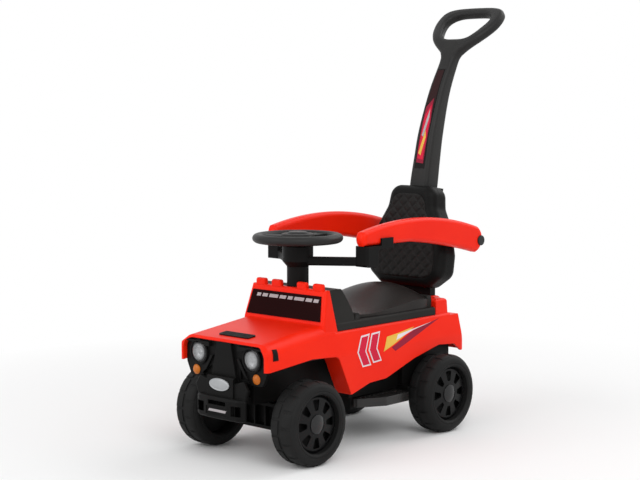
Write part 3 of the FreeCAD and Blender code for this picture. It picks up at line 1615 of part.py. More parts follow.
# Guard arms
def guard_arm():
    rear_top = V(arm_rear_top_x, 0, arm_rear_top_z)
    rear_low = V(arm_rear_low_x, 0, arm_rear_low_z)
    front_top = V(arm_front_x, 0, arm_front_top_z)
    front_low = V(arm_front_x, 0, arm_front_low_z)
    flat_end = V(arm_flat_x, 0, arm_front_low_z)
    nose_z = (arm_front_top_z + arm_front_low_z) / 2
    crown = Part.Arc(rear_top, V(arm_crown_x, 0, arm_crown_z), front_top)
    nose = Part.Arc(front_top, V(arm_front_x + arm_nose, 0, nose_z), front_low)
    flat = Part.LineSegment(front_low, flat_end)
    waist = Part.Arc(flat_end, V(arm_waist_x, 0, arm_waist_z), rear_low)
    heel = Part.Arc(rear_low, V(arm_rear_end_x, 0, pivot_z), rear_top)
    face = Part.Face(Part.Wire([edge.toShape() for edge in (crown, nose, flat, waist, heel)]))
    face.translate(V(0, arm_inner_y, 0))
    arm = face.extrude(V(0, arm_width, 0))
    arm = soften(arm, arm_round, lambda box: box.YLength < arm_width / 2)
    outer = arm_inner_y + arm_width
    arm = arm.cut(cross_rod(bolt_radius + running_gap, pivot_x, pivot_z, arm_inner_y - overrun,
                            outer + overrun))
    return arm.cut(cross_rod(bolt_head_radius + seat_gap, pivot_x, pivot_z, outer - bolt_sink,
                             outer + overrun))


def arm_cap():
    outer = arm_inner_y + arm_width
    cap = cross_rod(arm_cap_radius, pivot_x, pivot_z, outer, outer + arm_cap_height)
    return soften(cap, arm_cap_height / 2, lambda box: box.YMin > outer + arm_cap_height / 2)


def arm_pivot_bolts():
    outer = arm_inner_y + arm_width
    head = outer - bolt_sink + seat_gap
    bolt = cross_rod(bolt_radius, pivot_x, pivot_z, arm_inner_y - seat_gap - bolt_grip, head)
    bolt = bolt.fuse(cross_rod(bolt_head_radius, pivot_x, pivot_z, head, head + bolt_head))
    return Part.makeCompound(both_sides(bolt))


# Push handle: a tapering shaft that bends back into a loop grip.
root_x = grip_x + math.sin(math.radians(grip_tilt)) * grip_bar / 2
root_z = grip_low_z - math.cos(math.radians(grip_tilt)) * grip_bar / 2
shaft_stations = [(base_x, base_z, base_width, base_depth, back_lean),
                  (stem_x, stem_z, stem_width, stem_depth, stem_tilt),
                  (low_x, low_z, low_width, low_depth, low_tilt),
                  (high_x, high_z, high_width, high_depth, high_tilt),
                  (neck_x, neck_z, neck_width, neck_depth, neck_tilt),
                  (collar_x, collar_z, collar_width, collar_depth, collar_tilt),
                  (root_x, root_z, root_width, root_depth, grip_tilt)]


def shaft_wire(x, z, width, depth, tilt):
    r = shaft_corner_share * width
    front, side = depth / 2, width / 2
    corners = [(front, side, r), (-front, side, r), (-front, -side, r), (front, -side, r)]
    wire = round_wire(corners, on_plan)
    wire.rotate(V(0, 0, 0), V(0, 1, 0), -tilt)
    wire.translate(V(x, 0, z))
    return wire


def grip_loop():
    r = grip_corner
    outer = both_halves([(grip_low_half, -grip_bar, r), (grip_wide_half, grip_wide_rise, r),
                         (grip_top_half, grip_top_rise, r)])
    hole = both_halves([(hole_low_half, 0, hole_corner), (hole_wide_half, hole_wide_rise, hole_corner),
                        (hole_top_half, hole_top_rise, hole_corner)])
    half = grip_thickness / 2
    loop = front_slab(round_face(outer, on_front), -half, half)
    loop = loop.cut(front_slab(round_face(hole, on_front), -half, half))
    loop = soften(loop, grip_round, lambda box: box.XLength < half)
    loop.rotate(V(0, 0, 0), V(0, 1, 0), -grip_tilt)
    loop.translate(V(grip_x, 0, grip_low_z))
    return loop


def decal_form(lift, thickness, gap):
    wires = []
    for x, z, width, depth, tilt in shaft_stations[:-2]:
        half = decal_width_share * width / 2 + gap
        floor = depth / 2 - decal_recess + lift
        skin = floor + thickness
        corners = [(floor, half, 0), (floor, -half, 0), (skin, -half, 0), (skin, half, 0)]
        wire = round_wire(corners, on_plan)
        wire.rotate(V(0, 0, 0), V(0, 1, 0), -tilt)
        wire.translate(V(x, 0, z))
        wires.append(wire)
    rise = neck_z - base_z
    low = base_z + decal_low_share * rise - gap
    high = base_z + decal_high_share * rise + gap
    slab = Part.makeLoft(wires, True, False)
    return slab.common(block(grip_x - rise, 0, -base_width, base_width, low, high))


def push_handle():
    shaft = Part.makeLoft([shaft_wire(*station) for station in shaft_stations], True, False)
    shaft = shaft.cut(decal_form(0, decal_recess + overrun, seat_gap))
    tang = tang_box(0)
    tang = tang.cut(lock_rod(lock_radius + seat_gap, -tang_back - overrun, lock_depth - tang_back))
    return shaft.fuse([grip_loop(), lean_back(tang)]).removeSplitter()


def lock_button():
    inner = lock_depth - tang_back - lock_travel - seat_gap
    return lean_back(lock_rod(lock_radius, bulge_back - lock_rise, inner))


parts = {
    "body_shell": body_shell(),
    "underbody": underbody(),
    "chassis_screws": chassis_screws(),
    "fascia_panel": fascia_panel(),
    "headlamp_reflectors": headlamp_reflectors(),
    "headlamp_lenses": headlamp_lenses(),
    "indicator_lenses": indicator_lenses(),
    "bumper": bumper(),
    "badge_plate": badge_plate(),
    "hood_vent": hood_vent(),
    "side_vents": side_vents(),
    "windscreen_panel": windscreen_panel(),
    "seat_base": seat_base(),
    "seat_lid": seat_lid(),
    "lid_hinge_pins": lid_hinge_pins(),
    "storage_bin": storage_bin(),
    "backrest_front": backrest_front(),
    "backrest_rear": backrest_rear(),
    "arm_carrier": arm_carrier(),
    "carrier_screws": carrier_screws(),
    "arm_pivot_bolts": arm_pivot_bolts(),
    "guard_arm_left": guard_arm(),
    "guard_arm_right": mirrored(guard_arm()),
    "arm_cap_left": arm_cap(),
    "arm_cap_right": mirrored(arm_cap()),
    "push_handle": push_handle(),
    "handle_decal": decal_form(seat_gap / 2, decal_thickness, 0),
    "lock_button": lock_button(),
    "column_sleeve": column_sleeve(),
    "front_guard": front_guard(),
    "steering_wheel": steering_wheel(),
    "horn_button": horn_button(),
    "sound_unit": sound_unit(),
    "steering_shaft": steering_shaft(),
    "pitman_arm": pitman_arm(),
    "tie_rod": tie_rod(),
    "front_axle_beam": front_axle_beam(),
    "kingpins": Part.makeCompound(both_sides(kingpin())),
    "knuckle_left": knuckle(),
    "knuckle_right": mirrored(knuckle()),
    "rear_axle": rear_axle(),
    "rear_axle_spacers": rear_axle_spacers(),
    "rear_axle_nuts": Part.makeCompound([at_wheel(axle_nut(), -half_base, side) for side in (1, -1)]),
    "footboard_left": footboard(),
    "footboard_right": mirrored(footboard()),
}
for side_name, side in (("left", 1), ("right", -1)):
    parts["front_axle_nut_" + side_name] = at_wheel(axle_nut(), half_base, side)
    for end_name, x in (("front", half_base), ("rear", -half_base)):
        corner = end_name + "_" + side_name
        parts["wheel_" + corner] = at_wheel(wheel(), x, side)
        parts["wheel_cover_" + corner] = at_wheel(wheel_cover(), x, side)
        parts["hub_cap_" + corner] = at_wheel(hub_cap(), x, side)

# The origin is under the middle of the whole car.
front_reach = max(shape.BoundBox.XMax for shape in parts.values())
rear_reach = min(shape.BoundBox.XMin for shape in parts.values())
origin_shift = -(front_reach + rear_reach) / 2

os.makedirs("parts", exist_ok=True)
for name, shape in parts.items():
    shape.translate(V(origin_shift, 0, 0))
    shape.exportStep("parts/" + name + ".step")
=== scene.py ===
import bpy
import bmesh
import json
import math
from mathutils import Matrix, Vector
from mathutils.bvhtree import BVHTree


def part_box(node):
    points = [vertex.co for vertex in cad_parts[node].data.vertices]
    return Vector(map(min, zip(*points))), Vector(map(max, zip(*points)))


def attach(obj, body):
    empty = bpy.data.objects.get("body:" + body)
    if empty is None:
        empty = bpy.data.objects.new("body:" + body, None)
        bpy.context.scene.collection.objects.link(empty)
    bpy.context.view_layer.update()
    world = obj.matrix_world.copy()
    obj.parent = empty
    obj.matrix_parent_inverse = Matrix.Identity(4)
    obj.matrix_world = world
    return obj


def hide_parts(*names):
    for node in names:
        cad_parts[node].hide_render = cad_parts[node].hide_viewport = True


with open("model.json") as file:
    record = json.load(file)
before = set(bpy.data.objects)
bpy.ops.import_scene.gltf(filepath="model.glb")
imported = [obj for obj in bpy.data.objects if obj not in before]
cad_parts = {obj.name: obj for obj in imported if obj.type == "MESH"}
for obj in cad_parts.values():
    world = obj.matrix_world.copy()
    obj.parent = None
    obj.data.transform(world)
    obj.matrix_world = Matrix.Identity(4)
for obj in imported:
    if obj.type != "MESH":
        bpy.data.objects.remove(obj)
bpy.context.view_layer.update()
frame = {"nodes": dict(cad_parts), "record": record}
nodes = frame["nodes"]
sides = {"left": 1, "right": -1}
print("frame loaded:", len(nodes), "nodes")


# Shader maths: a wrapped socket takes part in Python expressions
class Wire:
    def __init__(self, finish, socket):
        self.finish = finish
        self.socket = socket

    def output(self, name):  # another output of the same node
        return Wire(self.finish, self.socket.node.outputs[name])

    def math(self, operation, first, second):
        return self.finish.add("ShaderNodeMath", {"operation": operation}, {0: first, 1: second})

    def __add__(self, other):
        return self.math("ADD", self, other)

    __radd__ = __add__

    def __sub__(self, other):
        return self.math("SUBTRACT", self, other)

    def __rsub__(self, other):
        return self.math("SUBTRACT", other, self)

    def __mul__(self, other):
        return self.math("MULTIPLY", self, other)

    __rmul__ = __mul__


class Finish:
    def __init__(self, name):
        self.material = bpy.data.materials.new(name)
        self.material.use_nodes = True
        self.tree = self.material.node_tree
        self.shader = self.tree.nodes["Principled BSDF"]

    # one method adds any node: settings first, then the values or links of its sockets
    def add(self, kind, settings=None, sockets=None, out=0):
        node = self.tree.nodes.new(kind)
        for key, value in (settings or {}).items():
            setattr(node, key, value)
        for key, value in (sockets or {}).items():
            self.feed(node.inputs[key], value)
        return Wire(self, node.outputs[out])

    def feed(self, socket, value):
        if isinstance(value, Wire):
            self.tree.links.new(value.socket, socket)
        else:
            socket.default_value = value

    def set(self, **values):
        names = {"colour": "Base Color", "roughness": "Roughness", "metallic": "Metallic", "alpha": "Alpha",
                 "normal": "Normal", "specular": "Specular IOR Level"}
        for key, value in values.items():
            self.feed(self.shader.inputs[names[key]], value)

    def place(self):
        return self.add("ShaderNodeTexCoord", out="Object")

    def axes(self, vector):
        split = self.add("ShaderNodeSeparateXYZ", {}, {0: vector})
        return [split.output(axis) for axis in "XYZ"]

    def noise(self, scale, detail):
        sockets = {"Vector": self.place(), "Scale": scale, "Detail": detail}
        return self.add("ShaderNodeTexNoise", {}, sockets)

    def mix(self, factor, first, second):  # 6, 7 and the output 2 are the sockets for colours
        return self.add("ShaderNodeMix", {"data_type": "RGBA"}, {0: factor, 6: first, 7: second}, out=2)

    def ramp(self, value, start, end):  # 0 up to start, 1 from end on
        sockets = {0: value, 1: start, 2: end, 3: 0.0, 4: 1.0}
        return self.add("ShaderNodeMapRange", {"clamp": True}, sockets)

    def softEdge(self, radius, bump=None, depth=0.0):
        edge = self.add("ShaderNodeBevel", {"samples": 4}, {"Radius": radius})
        if bump is None:
            return edge
        return self.add("ShaderNodeBump", {}, {"Distance": depth, "Height": bump, "Normal": edge})


def colour(red, green, blue):
    return (red, green, blue, 1.0)


white = colour(1.0, 1.0, 1.0)

# Moulded plastic: slight cloudiness in colour and gloss, a fine grain, and edges that catch the light
mould = {"cloudScale": 9.0, "cloudDetail": 3.0, "grainDetail": 2.0, "cloudStart": 0.35, "cloudEnd": 0.65,
         "noiseMiddle": 0.5}


def mouldedPlastic(name, row):
    finish = Finish(name)
    cloud = finish.noise(mould["cloudScale"], mould["cloudDetail"])
    speck = finish.noise(row["grain"], mould["grainDetail"])
    shaded = finish.ramp(cloud, mould["cloudStart"], mould["cloudEnd"])
    spread, middle = row["spread"], mould["noiseMiddle"]
    finish.set(colour=finish.mix(shaded, colour(*row["base"]), colour(*row["shade"])),
               roughness=row["rough"] + spread * (cloud - middle) + spread * (speck - middle),
               normal=finish.softEdge(row["edge"], speck, row["depth"]), specular=row["specular"])
    return finish


plastics = {
    "redShell": {"base": (0.88, 0.0185, 0.0025), "shade": (0.83, 0.0140, 0.0020), "rough": 0.36,
                 "spread": 0.10, "grain": 900.0, "depth": 0.00006, "edge": 0.0020, "specular": 0.13},
    "blackSatin": {"base": (0.0060, 0.0058, 0.0056), "shade": (0.0044, 0.0043, 0.0042), "rough": 0.46,
                   "spread": 0.12, "grain": 1400.0, "depth": 0.00012, "edge": 0.0012, "specular": 0.08},
    "tyreGrain": {"base": (0.0124, 0.0123, 0.0122), "shade": (0.0090, 0.0090, 0.0089), "rough": 0.58,
                  "spread": 0.14, "grain": 1100.0, "depth": 0.00018, "edge": 0.0014, "specular": 0.12},
    "coverGloss": {"base": (0.0050, 0.0050, 0.0053), "shade": (0.0036, 0.0036, 0.0038), "rough": 0.28,
                   "spread": 0.08, "grain": 1400.0, "depth": 0.00005, "edge": 0.0008, "specular": 0.14},
    "capGrey": {"base": (0.0075, 0.0075, 0.0080), "shade": (0.0055, 0.0055, 0.0060), "rough": 0.16,
                "spread": 0.06, "grain": 1400.0, "depth": 0.00003, "edge": 0.0008, "specular": 0.40},
    "trimGrey": {"base": (0.022, 0.022, 0.023), "shade": (0.018, 0.018, 0.019), "rough": 0.44,
                 "spread": 0.10, "grain": 1400.0, "depth": 0.00008, "edge": 0.0008, "specular": 0.20},
    "amberLens": {"base": (0.50, 0.135, 0.008), "shade": (0.40, 0.098, 0.006), "rough": 0.18,
                  "spread": 0.06, "grain": 500.0, "depth": 0.00002, "edge": 0.0006, "specular": 0.25},
    "screenFilm": {"base": (0.0150, 0.0010, 0.0011), "shade": (0.0105, 0.0007, 0.0008), "rough": 0.20,
                   "spread": 0.05, "grain": 700.0, "depth": 0.00002, "edge": 0.0006, "specular": 0.035},
    "decalFilm": {"base": (0.0080, 0.0062, 0.0060), "shade": (0.0062, 0.0050, 0.0050), "rough": 0.26,
                  "spread": 0.06, "grain": 700.0, "depth": 0.00002, "edge": 0.0004, "specular": 0.10},
    "seatGrain": {"base": (0.0175, 0.0142, 0.0128), "shade": (0.0130, 0.0108, 0.0098), "rough": 0.40,
                  "spread": 0.12, "grain": 620.0, "depth": 0.00022, "edge": 0.0016, "specular": 0.16},
    "cowlGrain": {"base": (0.0165, 0.0158, 0.0145), "shade": (0.0130, 0.0125, 0.0115), "rough": 0.54,
                  "spread": 0.12, "grain": 1000.0, "depth": 0.00016, "edge": 0.0020, "specular": 0.12},
    "quiltGrain": {"base": (0.0090, 0.0078, 0.0072), "shade": (0.0066, 0.0058, 0.0054), "rough": 0.50,
                   "spread": 0.14, "grain": 900.0, "depth": 0.00018, "edge": 0.0008, "specular": 0.14},
    "handleGrain": {"base": (0.0200, 0.0195, 0.0190), "shade": (0.0150, 0.0148, 0.0145), "rough": 0.46,
                    "spread": 0.12, "grain": 1200.0, "depth": 0.00012, "edge": 0.0016, "specular": 0.18},
    "pinBlack": {"base": (0.012, 0.012, 0.012), "shade": (0.008, 0.008, 0.008), "rough": 0.40,
                 "spread": 0.10, "grain": 900.0, "depth": 0.00004, "edge": 0.0005, "specular": 0.20},
    "boardGloss": {"base": (0.0200, 0.0186, 0.0178), "shade": (0.0155, 0.0146, 0.0140), "rough": 0.24,
                   "spread": 0.08, "grain": 700.0, "depth": 0.00005, "edge": 0.0014, "specular": 0.34},
}
finishes = {name: mouldedPlastic(name, row) for name, row in plastics.items()}

# Print colours of the films share one smooth surface
printSkin = {"rough": 0.26, "spread": 0.06, "grain": 800.0, "depth": 0.00002, "edge": 0.0003,
             "specular": 0.14}
printColours = {
    "printCrimson": {"base": (0.66, 0.012, 0.050), "shade": (0.58, 0.010, 0.042)},
    "printWhite": {"base": (0.78, 0.72, 0.74), "shade": (0.70, 0.62, 0.66)},
    "printYellow": {"base": (0.80, 0.50, 0.085), "shade": (0.70, 0.40, 0.060)},
    "printMaroon": {"base": (0.30, 0.010, 0.035), "shade": (0.22, 0.008, 0.028)},
    "printWine": {"base": (0.024, 0.0042, 0.0050), "shade": (0.018, 0.0036, 0.0042)},
    "printPearl": {"base": (0.46, 0.43, 0.44), "shade": (0.36, 0.33, 0.34)},
}
for name, row in printColours.items():
    finishes[name] = mouldedPlastic(name, {**row, **printSkin})

# Metals: a mottled tone, duller where it is darker
metals = {
    "lampSilver": {"base": (0.44, 0.45, 0.46), "shade": (0.33, 0.34, 0.35), "metallic": 0.9, "scale": 60.0,
                   "detail": 3.0, "rough": 0.24, "spread": 0.14, "edge": 0.0006},
    "zincSteel": {"base": (0.58, 0.59, 0.60), "shade": (0.42, 0.43, 0.45), "metallic": 1.0, "scale": 240.0,
                  "detail": 3.0, "rough": 0.30, "spread": 0.18, "edge": 0.0005},
}


def mottledMetal(name, row):
    finish = Finish(name)
    cloud = finish.noise(row["scale"], row["detail"])
    finish.set(colour=finish.mix(cloud, colour(*row["base"]), colour(*row["shade"])),
               roughness=row["rough"] + row["spread"] * cloud, metallic=row["metallic"],
               normal=finish.softEdge(row["edge"]))
    return finish


for name, row in metals.items():
    finishes[name] = mottledMetal(name, row)

# The lamp lens is clear over its core and turns dark and nearly opaque towards its rim: painted shade at the
# lamp's rim
lens = {"y": 0.067, "z": 0.190, "core": 0.0092, "edge": 0.0160, "clear": 0.24, "rimShade": 0.90,
        "clearColour": (0.62, 0.63, 0.64), "rimShadeColour": (0.020, 0.020, 0.021), "grain": 120.0,
        "detail": 2.0, "rough": 0.07, "spread": 0.06, "specular": 0.35}


def clearLens():
    finish = Finish("lensClear")
    speck = finish.noise(lens["grain"], lens["detail"])
    x, y, z = finish.axes(finish.place())
    across = y.math("ABSOLUTE", y, 0.0) - lens["y"]
    up = z - lens["z"]
    square = across * across + up * up
    reach = square.math("POWER", square, 0.5)
    # painted shade: the lens darkens and loses its clearness towards its rim
    rimShade = finish.ramp(reach, lens["core"], lens["edge"])
    finish.set(colour=finish.mix(rimShade, colour(*lens["clearColour"]), colour(*lens["rimShadeColour"])),
               alpha=lens["clear"] + (lens["rimShade"] - lens["clear"]) * rimShade,
               roughness=lens["rough"] + lens["spread"] * speck, specular=lens["specular"])
    return finish


finishes["lensClear"] = clearLens()

# Which finish a material slot gets, and which nodes of a slot have one of their own
slotFinish = {
    "red_plastic": "redShell", "black_plastic": "blackSatin", "tyre_black": "tyreGrain",
    "cover_black": "coverGloss", "cap_grey": "capGrey", "grey_plastic": "trimGrey", "amber": "amberLens",
    "dark_gloss": "screenFilm", "decal_print": "decalFilm", "lamp_silver": "lampSilver",
    "lens_clear": "lensClear", "steel": "zincSteel",
}
nodeFinish = {
    "seat_lid": "seatGrain", "seat_base": "cowlGrain", "push_handle": "handleGrain",
    "lid_hinge_pins": "pinBlack", "footboard_left": "boardGloss", "footboard_right": "boardGloss",
}

for part in frame["record"]["subparts"]:
    mesh = nodes[part["node"]].data
    mesh.materials.clear()
    finishName = nodeFinish.get(part["node"], slotFinish[part["material_slot"]])
    mesh.materials.append(finishes[finishName].material)
print("finishes set:", len(finishes))

weld = 0.00001  # points nearer than this are one


# Finished pieces: the mesh is closed up, smoothed by angle, tied to its body and given its finish
def makePiece(name, bm, body, finishName, sharpAngle, mend=True):
    if mend:
        bmesh.ops.remove_doubles(bm, verts=bm.verts, dist=weld)
        bmesh.ops.recalc_face_normals(bm, faces=bm.faces)
    mesh = bpy.data.meshes.new(name)
    bm.to_mesh(mesh)
    bm.free()
    mesh.shade_smooth()
    mesh.set_sharp_from_angle(angle=math.radians(sharpAngle))
    mesh.materials.append(finishes[finishName].material)
    piece = bpy.data.objects.new(name, mesh)
    bpy.context.scene.collection.objects.link(piece)
    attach(piece, body)
    return piece


# A line of points, each joined to the next
def addLine(bm, points, closed=False):
    verts = [bm.verts.new(point) for point in points]
    ends = verts[1:] + verts[:1] if closed else verts[1:]
    return verts + [bm.edges.new(pair) for pair in zip(verts, ends)]


# A full turn of a line about an axis
def spinLine(bm, line, centre, axis, steps):
    bmesh.ops.spin(bm, geom=line, cent=centre, axis=axis, angle=math.tau, steps=steps, use_merge=True)


def vertsIn(items):
    return [item for item in items if isinstance(item, bmesh.types.BMVert)]


def arcPoints(centre, radius, start, end, count):
    turns = [math.radians(start + (end - start) * k / count) for k in range(count + 1)]
    return [(centre[0] + radius * math.cos(turn), centre[1] + radius * math.sin(turn)) for turn in turns]


# Tyres: a spun section with rounded shoulders, then lugs drawn out of the tread band
tyre = {
    "steps": 96, "radius": 0.075, "half": 0.0275, "round": 0.0140, "bead": 0.0550, "rim": 0.0520,
    "beadStep": 0.0030, "web": 0.0060, "hub": 0.0160, "hubIn": -0.0240, "hubOut": 0.0090, "bore": 0.00505,
    "shoulderCuts": 7, "lugHeight": 0.0016, "lugInner": 0.0035, "lugOuter": 0.0235, "lugPeriod": 6,
    "ringAt": 0.0585, "ringDepth": 0.0008, "ringHalf": 0.0008, "fadeFrom": 0.0135, "fadeOver": 0.0140,
    "sharp": 35.0,
}


def tyreSection():
    low = tyre["radius"] - tyre["lugHeight"]
    half = tyre["half"]
    centre = (tyre["radius"] - tyre["round"], half - tyre["round"])
    reach = low - centre[0]
    bend = arcPoints(centre, reach, 0.0, 90.0, tyre["shoulderCuts"])
    shoulder = [(r, y + half - centre[1] - reach) for r, y in bend]
    ring = tyre["ringAt"]
    side = [(ring + tyre["ringHalf"], half), (ring, half - tyre["ringDepth"]),
            (ring - tyre["ringHalf"], half), (tyre["bead"], half)]
    outer = [(low, tyre["lugInner"])] + shoulder + side
    inner = [(r, -y) for r, y in reversed(outer)]
    rimOuter = [(tyre["rim"], half - tyre["beadStep"]), (tyre["rim"], tyre["web"]),
                (tyre["hub"], tyre["web"]), (tyre["hub"], tyre["hubOut"]), (tyre["bore"], tyre["hubOut"])]
    rimInner = [(tyre["bore"], tyre["hubIn"]), (tyre["hub"], tyre["hubIn"]), (tyre["hub"], 0.0),
                (tyre["rim"], 0.0), (tyre["rim"], tyre["beadStep"] - half)]
    return inner + outer + rimOuter + rimInner


# Tread faces between the grooves, which are staggered from one half of the tread to the other
def lugFaces(bm):
    lugs = []
    for face in bm.faces:
        middle = face.calc_center_median()
        reach = math.hypot(middle.x, middle.z)
        across = abs(middle.y)
        if reach < tyre["radius"] - tyre["round"] or not tyre["lugInner"] < across < tyre["lugOuter"]:
            continue
        turn = math.atan2(middle.z, middle.x) / math.tau * tyre["steps"]
        stagger = 0 if middle.y > 0 else tyre["lugPeriod"] // 2
        if int(turn + tyre["steps"] + stagger) % tyre["lugPeriod"] != 0:
            lugs.append(face)
    return lugs


def makeTyre(wheel, side):
    low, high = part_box("wheel_" + wheel)
    bm = bmesh.new()
    section = addLine(bm, [(r, y, 0.0) for r, y in tyreSection()], closed=True)
    spinLine(bm, section, (0, 0, 0), (0, 1, 0), tyre["steps"])
    bmesh.ops.remove_doubles(bm, verts=bm.verts, dist=weld)
    bmesh.ops.recalc_face_normals(bm, faces=bm.faces)
    lugs = lugFaces(bm)
    for vert in vertsIn(bmesh.ops.extrude_face_region(bm, geom=lugs)["geom"]):
        reach = math.hypot(vert.co.x, vert.co.z)
        fade = max(0.0, abs(vert.co.y) - tyre["fadeFrom"]) / tyre["fadeOver"]
        lift = tyre["lugHeight"] * max(0.0, 1 - fade)
        vert.co.x *= 1 + lift / reach
        vert.co.z *= 1 + lift / reach
    bmesh.ops.delete(bm, geom=lugs, context="FACES")
    if side < 0:
        bmesh.ops.scale(bm, vec=(1, -1, 1), verts=bm.verts)
    bmesh.ops.translate(bm, vec=(low + high) / 2, verts=bm.verts)
    piece = makePiece("tyre_" + wheel, bm, "wheel_" + wheel, "tyreGrain", tyre["sharp"])
    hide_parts("wheel_" + wheel)


for sideName, side in sides.items():
    for endName in ("front", "rear"):
        makeTyre(endName + "_" + sideName, side)
print("tyres made")


# Printed films: an outline is cut into strips, laid on a node's skin and given a thickness
film = {
    "lift": 0.00030, "strip": 0.006, "snap": 0.0002, "far": 0.6, "sharp": 40.0,
    "flank": [
        {"name": "tailFilm", "print": "printMaroon", "level": 1,
         "points": [(0.036, 0.178), (-0.030, 0.202), (-0.112, 0.2165), (-0.076, 0.2045), (0.026, 0.170)]},
        {"name": "frontChevronEdge", "print": "printWhite", "level": 1,
         "points": [(0.1330, 0.1800), (0.1180, 0.2085), (0.0935, 0.2105), (0.1085, 0.1805), (0.0945, 0.1525),
                    (0.1185, 0.1515)]},
        {"name": "backChevronEdge", "print": "printWhite", "level": 1,
         "points": [(0.1020, 0.1810), (0.0885, 0.2100), (0.0640, 0.2115), (0.0775, 0.1815), (0.0650, 0.1570),
                    (0.0890, 0.1555)]},
        {"name": "frontChevron", "print": "printCrimson", "level": 2,
         "points": [(0.1296, 0.1800), (0.1163, 0.2056), (0.0980, 0.2071), (0.1117, 0.1802), (0.0990, 0.1552),
                    (0.1168, 0.1544)]},
        {"name": "backChevron", "print": "printCrimson", "level": 2,
         "points": [(0.0986, 0.1810), (0.0868, 0.2070), (0.0685, 0.2082), (0.0808, 0.1812), (0.0695, 0.1597),
                    (0.0873, 0.1585)]},
        {"name": "yellowDart", "print": "printYellow", "level": 2,
         "points": [(0.060, 0.173), (0.047, 0.199), (0.012, 0.2025), (-0.034, 0.2090), (0.004, 0.1925),
                    (0.030, 0.183)]},
        {"name": "whiteDart", "print": "printWhite", "level": 3,
         "points": [(0.022, 0.190), (0.016, 0.1995), (-0.086, 0.2120), (-0.030, 0.2030)]},
    ],
    "handle": [
        {"name": "handleFade", "print": "printWine", "level": 1,
         "points": [(-0.0098, 0.630), (0.0098, 0.630), (0.0076, 0.696), (-0.0076, 0.696)]},
        {"name": "handlePatch", "print": "printMaroon", "level": 2,
         "points": [(-0.0100, 0.512), (0.0080, 0.510), (0.0098, 0.596), (0.0050, 0.640), (-0.0088, 0.622)]},
        {"name": "handleGlow", "print": "printCrimson", "level": 3,
         "points": [(-0.0082, 0.520), (0.0058, 0.517), (0.0080, 0.590), (0.0040, 0.628), (-0.0066, 0.606)]},
        {"name": "handleYellow", "print": "printYellow", "level": 4,
         "points": [(-0.0070, 0.530), (-0.0008, 0.526), (0.0056, 0.562), (0.0024, 0.576)]},
        {"name": "handleWhite", "print": "printPearl", "level": 5,
         "points": [(-0.0050, 0.566), (-0.0004, 0.563), (0.0056, 0.602), (0.0030, 0.618)]},
    ],
    "plate": [
        {"name": "plateStrip", "print": "printPearl", "level": 1,
         "points": [(-0.0235, 0.0930), (0.0200, 0.0930), (0.0235, 0.0975), (-0.0200, 0.0975)]},
    ],
    "screen": {"from": -0.0740, "low": 0.2755, "high": 0.2815, "gap": 0.0045, "slant": 0.0016,
               "lengths": [0.010, 0.013, 0.022, 0.016, 0.012, 0.024, 0.015, 0.012]},
}


def skinOf(node):
    bm = bmesh.new()
    bm.from_mesh(nodes[node].data)
    skin = BVHTree.FromBMesh(bm)
    bm.free()
    return skin


# Strips let a film follow a curved skin
def cutStrips(bm, corners, axis):
    values = [corner[axis] for corner in corners]
    normal = Vector((0.0, 0.0, 0.0))
    normal[axis] = 1.0
    for k in range(int((max(values) - min(values)) / film["strip"])):
        plane = normal * (min(values) + film["strip"] * (k + 1))
        bmesh.ops.bisect_plane(bm, geom=bm.verts[:] + bm.edges[:] + bm.faces[:], dist=film["snap"],
                               plane_co=plane, plane_no=normal)


def layFilm(settings, skin, way, ending=""):
    outward = Vector(way)
    sideways = abs(outward.y) > abs(outward.x)
    bm = bmesh.new()
    corners = [(a, 0.0, b) if sideways else (0.0, a, b) for a, b in settings["points"]]
    bm.faces.new([bm.verts.new(corner) for corner in corners])
    for axis in ((2, 0) if sideways else (2, 1)):
        cutStrips(bm, corners, axis)
    height = film["lift"] * settings["level"]
    for vert in bm.verts:
        hit = skin.ray_cast(vert.co + outward * film["far"], -outward)[0]
        vert.co = hit + outward * height
    bmesh.ops.recalc_face_normals(bm, faces=bm.faces)
    if sum((face.normal for face in bm.faces), Vector()).dot(outward) < 0:
        bmesh.ops.reverse_faces(bm, faces=bm.faces)
    bmesh.ops.solidify(bm, geom=bm.faces[:], thickness=height)
    name = settings["name"] + ending
    makePiece(name, bm, "root", settings["print"], film["sharp"], mend=False)


def screenDashes():
    row = film["screen"]
    start = row["from"]
    dashes = []
    for k, length in enumerate(row["lengths"]):
        end = start + length
        points = [(start, row["low"]), (end, row["low"]), (end + row["slant"], row["high"]),
                  (start + row["slant"], row["high"])]
        dashes.append({"name": "screenDash_" + str(k), "print": "printPearl", "level": 1, "points": points})
        start = end + row["gap"]
    return dashes


def makeFilms():
    flank = skinOf("body_shell")
    for sideName, side in sides.items():
        for settings in film["flank"]:
            layFilm(settings, flank, (0.0, side, 0.0), "_" + sideName)
    fronts = {"handle_decal": film["handle"], "bumper": film["plate"], "windscreen_panel": screenDashes()}
    for node, films in fronts.items():
        skin = skinOf(node)
        for settings in films:
            layFilm(settings, skin, (1.0, 0.0, 0.0))


makeFilms()
print("films laid")


# Backrest panel: a sewn-look relief of diamonds on the backrest's flat front
quilt = {
    "across": 84, "up": 112, "low": 0.017, "high": 0.183, "corner": 0.022, "thickness": 0.0018,
    "pillow": 0.0012, "pitch": 0.024, "sunk": 0.0004, "seam": 0.15, "edgeShare": 0.94, "lean": 8.5,
    "back": (-0.12218, 0.0, 0.271), "sharp": 60.0,
    "halves": [(0.000, 0.046), (0.028, 0.0755), (0.070, 0.0765), (0.120, 0.0615), (0.158, 0.0430),
               (0.200, 0.0370)],
}


